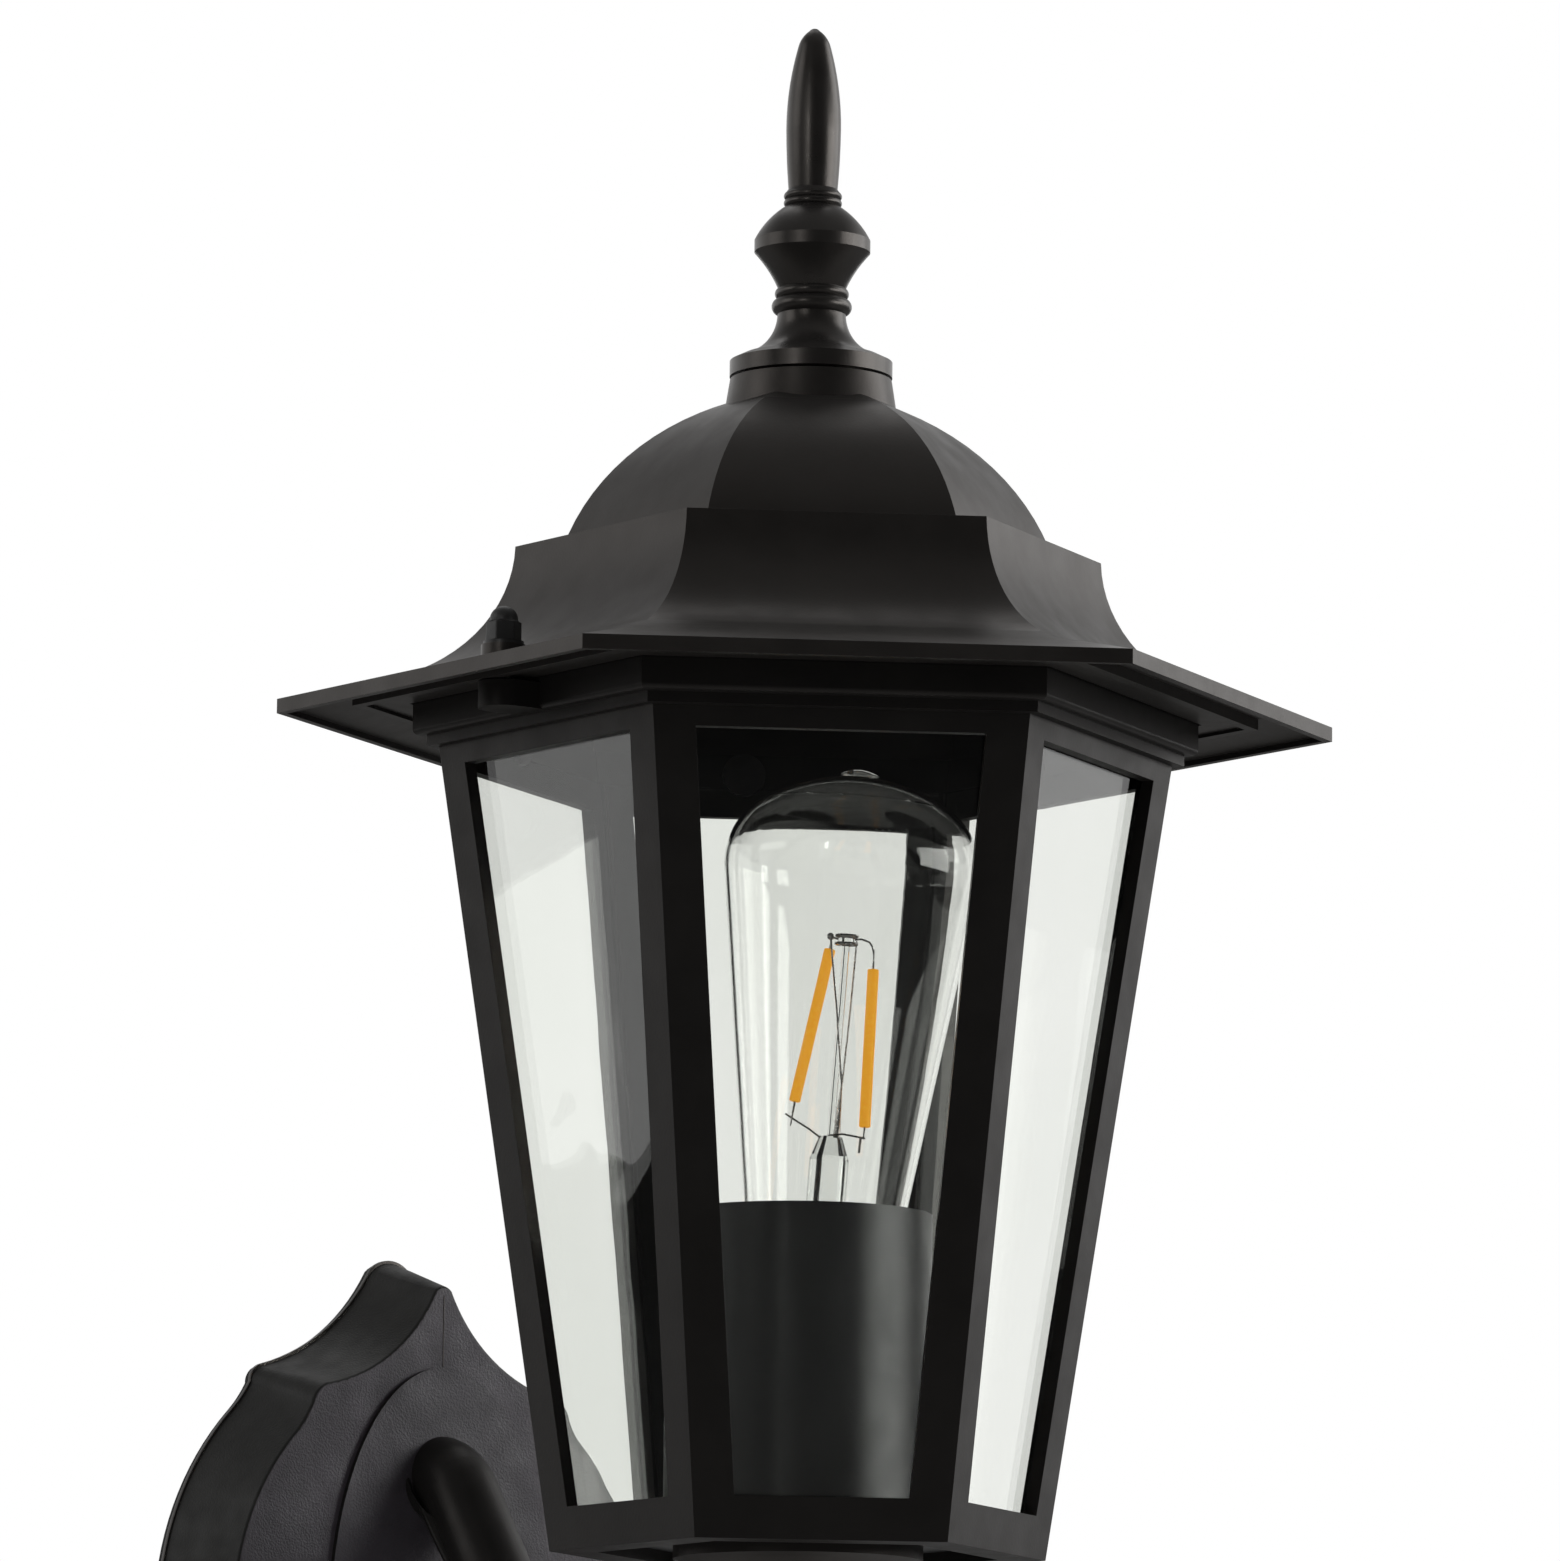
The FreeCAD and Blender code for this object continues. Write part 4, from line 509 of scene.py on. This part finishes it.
def makeFilaments():
    rods = []
    for side in ("left", "right"):
        foot, top = [inLamp(spot) for spot in filament[side]]
        bpy.ops.object.select_all(action="DESELECT")
        bpy.ops.mesh.primitive_cylinder_add(vertices=filament["sides"], radius=filament["radius"],
                                            depth=(top - foot).length, location=(foot + top) / 2,
                                            rotation=leaning(foot, top))
        rod = bpy.context.object
        choose(rod, "FACE", lambda face: len(face.vertices) > 4)  # its ends, which are softened
        bpy.ops.mesh.bevel(offset=filament["edge"], segments=filament["edgeSteps"], affect="EDGES")
        rods.append(settle(rod, "filamentRod"))
    rods = joined(rods, "filamentRods")
    finishPiece(rods, "filamentSilicone", "lamp", ["lamp_filaments"])
    print("filaments drawn")


leads = {
    "wire": 0.00022,
    "wireSides": 8,
    "wires": {
        "leftStay": [(-3.7, -0.9, 102.4), (-1.0, -1.0, 86.0), (1.5, -1.2, 69.0)],
        "rightStay": [(2.3, -0.9, 101.6), (2.1, -1.0, 86.0), (1.6, -1.2, 69.0)],
        "rightHook": [(1.6, 0.0, 102.0), (3.4, -0.4, 102.2), (5.2, -0.8, 101.6), (5.9, -0.9, 100.6),
                      (6.35, -1.0, 98.9)],
        "leftHook": [(-1.6, 0.0, 101.8), (-2.9, 0.9, 102.2), (-3.5, 2.4, 102.0), (-3.5, 2.9, 101.0)],
        "leftFoot": [(-10.6, 1.4, 61.6), (-8.9, 0.9, 60.6), (-5.2, 0.4, 58.6), (-2.2, 0.0, 56.6)],
        "rightFoot": [(-0.6, -1.9, 57.1), (2.6, -2.5, 57.6), (7.7, -3.0, 57.0)],
    },
    "post": [(6.7, -2.9, 57.3), (6.6, -2.9, 53.6)],
    "postRadius": 0.0003,
    "clips": {  # from the filament's end outwards
        "leftTop": ((-3.6, 3.0, 99.3), (-3.4, 2.9, 101.8)),
        "rightTop": ((6.5, -1.0, 95.1), (6.3, -1.0, 100.0)),
        "leftFoot": ((-8.7, 1.0, 65.0), (-9.3, 0.9, 58.9)),
        "rightFoot": ((7.4, -3.0, 60.0), (7.3, -3.0, 56.7)),
    },
    "clipWide": 0.0012,
    "clipThick": 0.0005,
    "clipTaper": 0.6,
    "clipEdge": 0.00012,
    "clipSteps": 2,
    "ball": ((-3.7, 0.4, 102.4), 0.0008),
    "ballSides": (14, 9),
    "rings": [((0, 0, 100.9), 0.0023), ((0, 0, 102.7), 0.0023)],
    "ringWire": 0.0004,
    "ringSides": (28, 8),
    "sleeve": ((1.3, -1.2, 56.6), (1.5, -1.2, 69.4)),
    "sleeveRadius": (0.0009, 0.00018),
    "sleeveSides": 14,
    "smooth": 60,
}


def drawWire(spots, radius):
    spots = [inLamp(spot) for spot in spots]
    last = len(spots) - 1
    rings = [(spot, leaning(spots[max(place - 1, 0)], spots[min(place + 1, last)]), radius)
             for place, spot in enumerate(spots)]
    return loft(rings, leads["wireSides"], "wireRun", leads["smooth"])


def drawClip(start, end):
    start, end = inLamp(start), inLamp(end)
    bpy.ops.object.select_all(action="DESELECT")
    bpy.ops.mesh.primitive_cube_add(size=1, location=(start + end) / 2, rotation=leaning(start, end))
    clip = bpy.context.object
    clip.scale = (leads["clipWide"], leads["clipThick"], (end - start).length)
    bpy.ops.object.transform_apply(location=False, rotation=False, scale=True)
    choose(clip, "VERT", lambda corner: corner.co.z > 0)
    taper = leads["clipTaper"]
    bpy.ops.transform.resize(value=(taper, taper, taper), orient_type="LOCAL",
                             constraint_axis=(True, True, False))
    bpy.ops.mesh.select_all(action="SELECT")
    bpy.ops.mesh.bevel(offset=leads["clipEdge"], segments=leads["clipSteps"], affect="EDGES")
    return settle(clip, "clip")


def makeLeads():
    parts = [drawWire(spots, leads["wire"]) for spots in leads["wires"].values()]
    parts.append(drawWire(leads["post"], leads["postRadius"]))
    parts += [drawClip(*ends) for ends in leads["clips"].values()]
    for spot, radius in leads["rings"]:
        bpy.ops.object.select_all(action="DESELECT")
        turn = leaning(inLamp(spot), inLamp((spot[0], spot[1], spot[2] + 1)))
        bpy.ops.mesh.primitive_torus_add(major_radius=radius, minor_radius=leads["ringWire"],
                                         major_segments=leads["ringSides"][0],
                                         minor_segments=leads["ringSides"][1],
                                         location=inLamp(spot), rotation=turn)
        parts.append(settle(bpy.context.object, "beadRing", leads["smooth"]))
    spot, radius = leads["ball"]
    bpy.ops.object.select_all(action="DESELECT")
    bpy.ops.mesh.primitive_uv_sphere_add(segments=leads["ballSides"][0], ring_count=leads["ballSides"][1],
                                         radius=radius, location=inLamp(spot))
    parts.append(settle(bpy.context.object, "weldBall", leads["smooth"]))
    foot, top = [inLamp(spot) for spot in leads["sleeve"]]
    bpy.ops.object.select_all(action="DESELECT")
    bpy.ops.mesh.primitive_cone_add(vertices=leads["sleeveSides"], radius1=leads["sleeveRadius"][0],
                                    radius2=leads["sleeveRadius"][1], depth=(top - foot).length,
                                    location=(foot + top) / 2, rotation=leaning(foot, top))
    parts.append(settle(bpy.context.object, "crimpCone"))
    finishPiece(joined(parts, "lampLeads"), "leadNickel", "lamp", ["lamp_wires"])
    print("lamp leads drawn:", len(parts), "runs")


studs = {
    "reach": (-0.08345, 0.08345),
    "out": -0.1684,
    "foot": 0.1924,
    "top": 0.2113,
    "radius": 0.002,
    "root": 0.0017,
    "pitch": 0.0007,
    "plain": 0.0045,
    "tip": 0.9,
    "sides": 20,
    "smooth": 20,
}


def makeStuds():
    made = []
    threaded = studs["top"] - studs["foot"] - studs["plain"]
    turns = int(threaded / studs["pitch"])
    step = threaded / turns / 2
    narrow = studs["root"] / studs["radius"]
    for reach in studs["reach"]:
        bpy.ops.object.select_all(action="DESELECT")
        middle = (reach, studs["out"], studs["foot"] + studs["plain"] / 2)
        bpy.ops.mesh.primitive_cylinder_add(vertices=studs["sides"], radius=studs["radius"],
                                            depth=studs["plain"], location=middle)
        stud = bpy.context.object
        choose(stud, "FACE", lambda face: face.normal.z > endFacing)
        for turn in range(turns):
            for change in (narrow, 1 / narrow if turn < turns - 1 else studs["tip"]):
                bpy.ops.mesh.extrude_region_move(TRANSFORM_OT_translate={"value": (0, 0, step)})
                bpy.ops.transform.resize(value=(change, change, 1))
        made.append(settle(stud, "stud", studs["smooth"]))
    finishPiece(joined(made, "threadedStuds"), "zincPlate", "lantern", ["roof_studs"])
    print("studs threaded")


castings = {  # edges eased as on a coated casting
    "pieces": {  # node, body, finish, slot, metres
        "softRoof": ("roof_casting", "roof", "castingCoat", "black_casting", 0.0006),
        "softCage": ("cage_casting", "lantern", "cageCoat", "black_casting", 0.0004),
        "softArm": ("arm_casting", "lantern", "cageCoat", "black_casting", 0.0004),
        "softPlate": ("wall_plate", "lantern", "plateCoat", "black_casting", 0.0003),
        "softNutLeft": ("cap_nut_left", "nut_left", "nutCoat", "black_nut", 0.0003),
        "softNutRight": ("cap_nut_right", "nut_right", "nutCoat", "black_nut", 0.0003),
    },
    "flat": 0.3,  # degrees between faces that become one
    "corner": 28,  # degrees at an edge that is eased
    "steps": 2,
    "smooth": 40,
    "weight": 80,
}


def evenShade(piece):  # flat faces stay flat beside eased edges
    weigh = piece.modifiers.new("weigh", "WEIGHTED_NORMAL")
    weigh.keep_sharp = True
    weigh.weight = castings["weight"]
    bpy.ops.object.modifier_apply(modifier="weigh")


def easeCastings():
    for name, (node, body, finish, slot, ease) in castings["pieces"].items():
        piece = copyNode(node, name)
        bpy.ops.mesh.dissolve_limited(angle_limit=math.radians(castings["flat"]))
        easeEdges(piece, ease, castings["steps"], castings["corner"])
        settle(piece, name, castings["smooth"])
        evenShade(piece)
        finishPiece(piece, finish, body, [node])
        print(name, "eased:", len(piece.data.polygons), "faces")


mountPaint = {"footFacing": -0.98, "footDeep": 0.003, "shadedSideFacing": -0.97}


def paintFaces(name, finish, test):
    piece = bpy.data.objects[name]
    onlySelect(piece)
    piece.data.materials.append(finishes[finish])
    choose(piece, "FACE", test)
    piece.active_material_index = len(piece.data.materials) - 1
    bpy.ops.object.material_slot_assign()
    bpy.ops.object.mode_set(mode="OBJECT")


def paintMount():  # grained oval foot, darker than the plate as painted shade; flanks of the plate darker as painted shade
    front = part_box("wall_plate")[0][1]

    def onFoot(face):
        near = front - mountPaint["footDeep"] < face.center.y < front
        return near and face.normal.y < mountPaint["footFacing"]

    # the foot takes the plate's grained coat, made darker as painted shade
    paintFaces("softArm", "footCoatAndShade", onFoot)
    # the plate's flanks take a darker copy of its coat: painted shade
    paintFaces("softPlate", "plateSidePaintedShade", lambda face: face.normal.y > mountPaint["shadedSideFacing"])
    print("mount painted")


armRoot = {  # the arm thickens towards its oval foot, on the side of the wall
    "level": 0.0346,
    "out": 0.02316,
    "bend": 0.014,
    "rings": [  # degrees round the bend, then mm: along, radius, towards the wall
        (12, 0, 10.9, 1.7), (22, 0, 10.9, 2.2), (33, 0, 10.7, 2.8), (44, 0, 10.5, 3.2), (54.2, 0, 10.3, 3.5),
        (54.2, 10, 10.1, 3.4), (54.2, 20, 9.8, 2.9), (54.2, 30, 9.5, 2.1), (54.2, 40, 9.2, 1.2),
        (54.2, 50, 8.8, 0.4),
    ],
    "sides": 64,
    "smooth": 50,
}


def makeArmRoot():
    rings = []
    for angle, along, radius, inward in armRoot["rings"]:
        turn = math.radians(angle)
        middle = Vector((0, -armRoot["out"] - armRoot["bend"] * math.sin(turn),
                         armRoot["level"] - armRoot["bend"] * (1 - math.cos(turn))))
        middle += along / perMetre * Vector((0, -math.cos(turn), -math.sin(turn)))
        middle += inward / perMetre * Vector((0, math.sin(turn), -math.cos(turn)))
        rings.append((middle, (math.pi / 2 - turn, 0, 0), radius / perMetre))
    root = loft(rings, armRoot["sides"], "armRoot", armRoot["smooth"])
    finishPiece(root, "cageCoat", "lantern")
    print("arm root thickened")


plateLip = {
    "back": 0.0018,
    "thick": 0.0011,
    "proud": (0.00045, 0.00055),
    "ease": 0.0003,
    "steps": 3,
    "corner": 40,
    "smooth": 40,
}


def makePlateLip():
    lip = copyNode("wall_gasket", "plateLip")
    low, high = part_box("wall_gasket")
    wider, taller = plateLip["proud"]
    bpy.ops.transform.resize(value=(1 + wider / high[0], plateLip["thick"] / (high[1] - low[1]),
                                    1 + taller / (high[2] - low[2])), center_override=(0, 0, low[2]))
    bpy.ops.transform.translate(value=(0, -plateLip["back"], 0))
    easeEdges(lip, plateLip["ease"], plateLip["steps"], plateLip["corner"])
    finishPiece(settle(lip, "plateLip", plateLip["smooth"]), "finialCoat", "lantern")
    print("plate lip laid")


# a seam ridge down the plate in the black casting coat; the seam is real, its darkness is painted shade of a
# groove
plateSeam = {
    "front": -0.0259,
    "foot": 0.0598,
    "top": 0.0768,
    "wide": 0.0003,
    "proud": 0.00012,
    "taper": (0.4, 1, 0.99),
}


def makePlateSeamShade():
    foot, top = plateSeam["foot"], plateSeam["top"]
    bpy.ops.object.select_all(action="DESELECT")
    bpy.ops.mesh.primitive_cube_add(size=1, location=(0, plateSeam["front"], (foot + top) / 2))
    seam = bpy.context.object
    seam.scale = (plateSeam["wide"], 2 * plateSeam["proud"], top - foot)
    bpy.ops.object.transform_apply(location=False, rotation=False, scale=True)
    choose(seam, "FACE", lambda face: face.normal.y < -endFacing)
    bpy.ops.transform.resize(value=plateSeam["taper"])
    # the black coat stands in for the groove's shade: painted shade
    finishPiece(settle(seam, "plateSeam"), "castingCoat", "lantern")
    print("plate seam drawn")


setCamera()
setLamps()
setWorld()
layFloor()
bpy.context.scene.view_settings.view_transform = "Standard"
finishes = paintNodes()
print("studio set")
makeFilaments()
makeLeads()
makeStuds()
easeCastings()
paintMount()
makeArmRoot()
makePlateLip()
makePlateSeamShade()
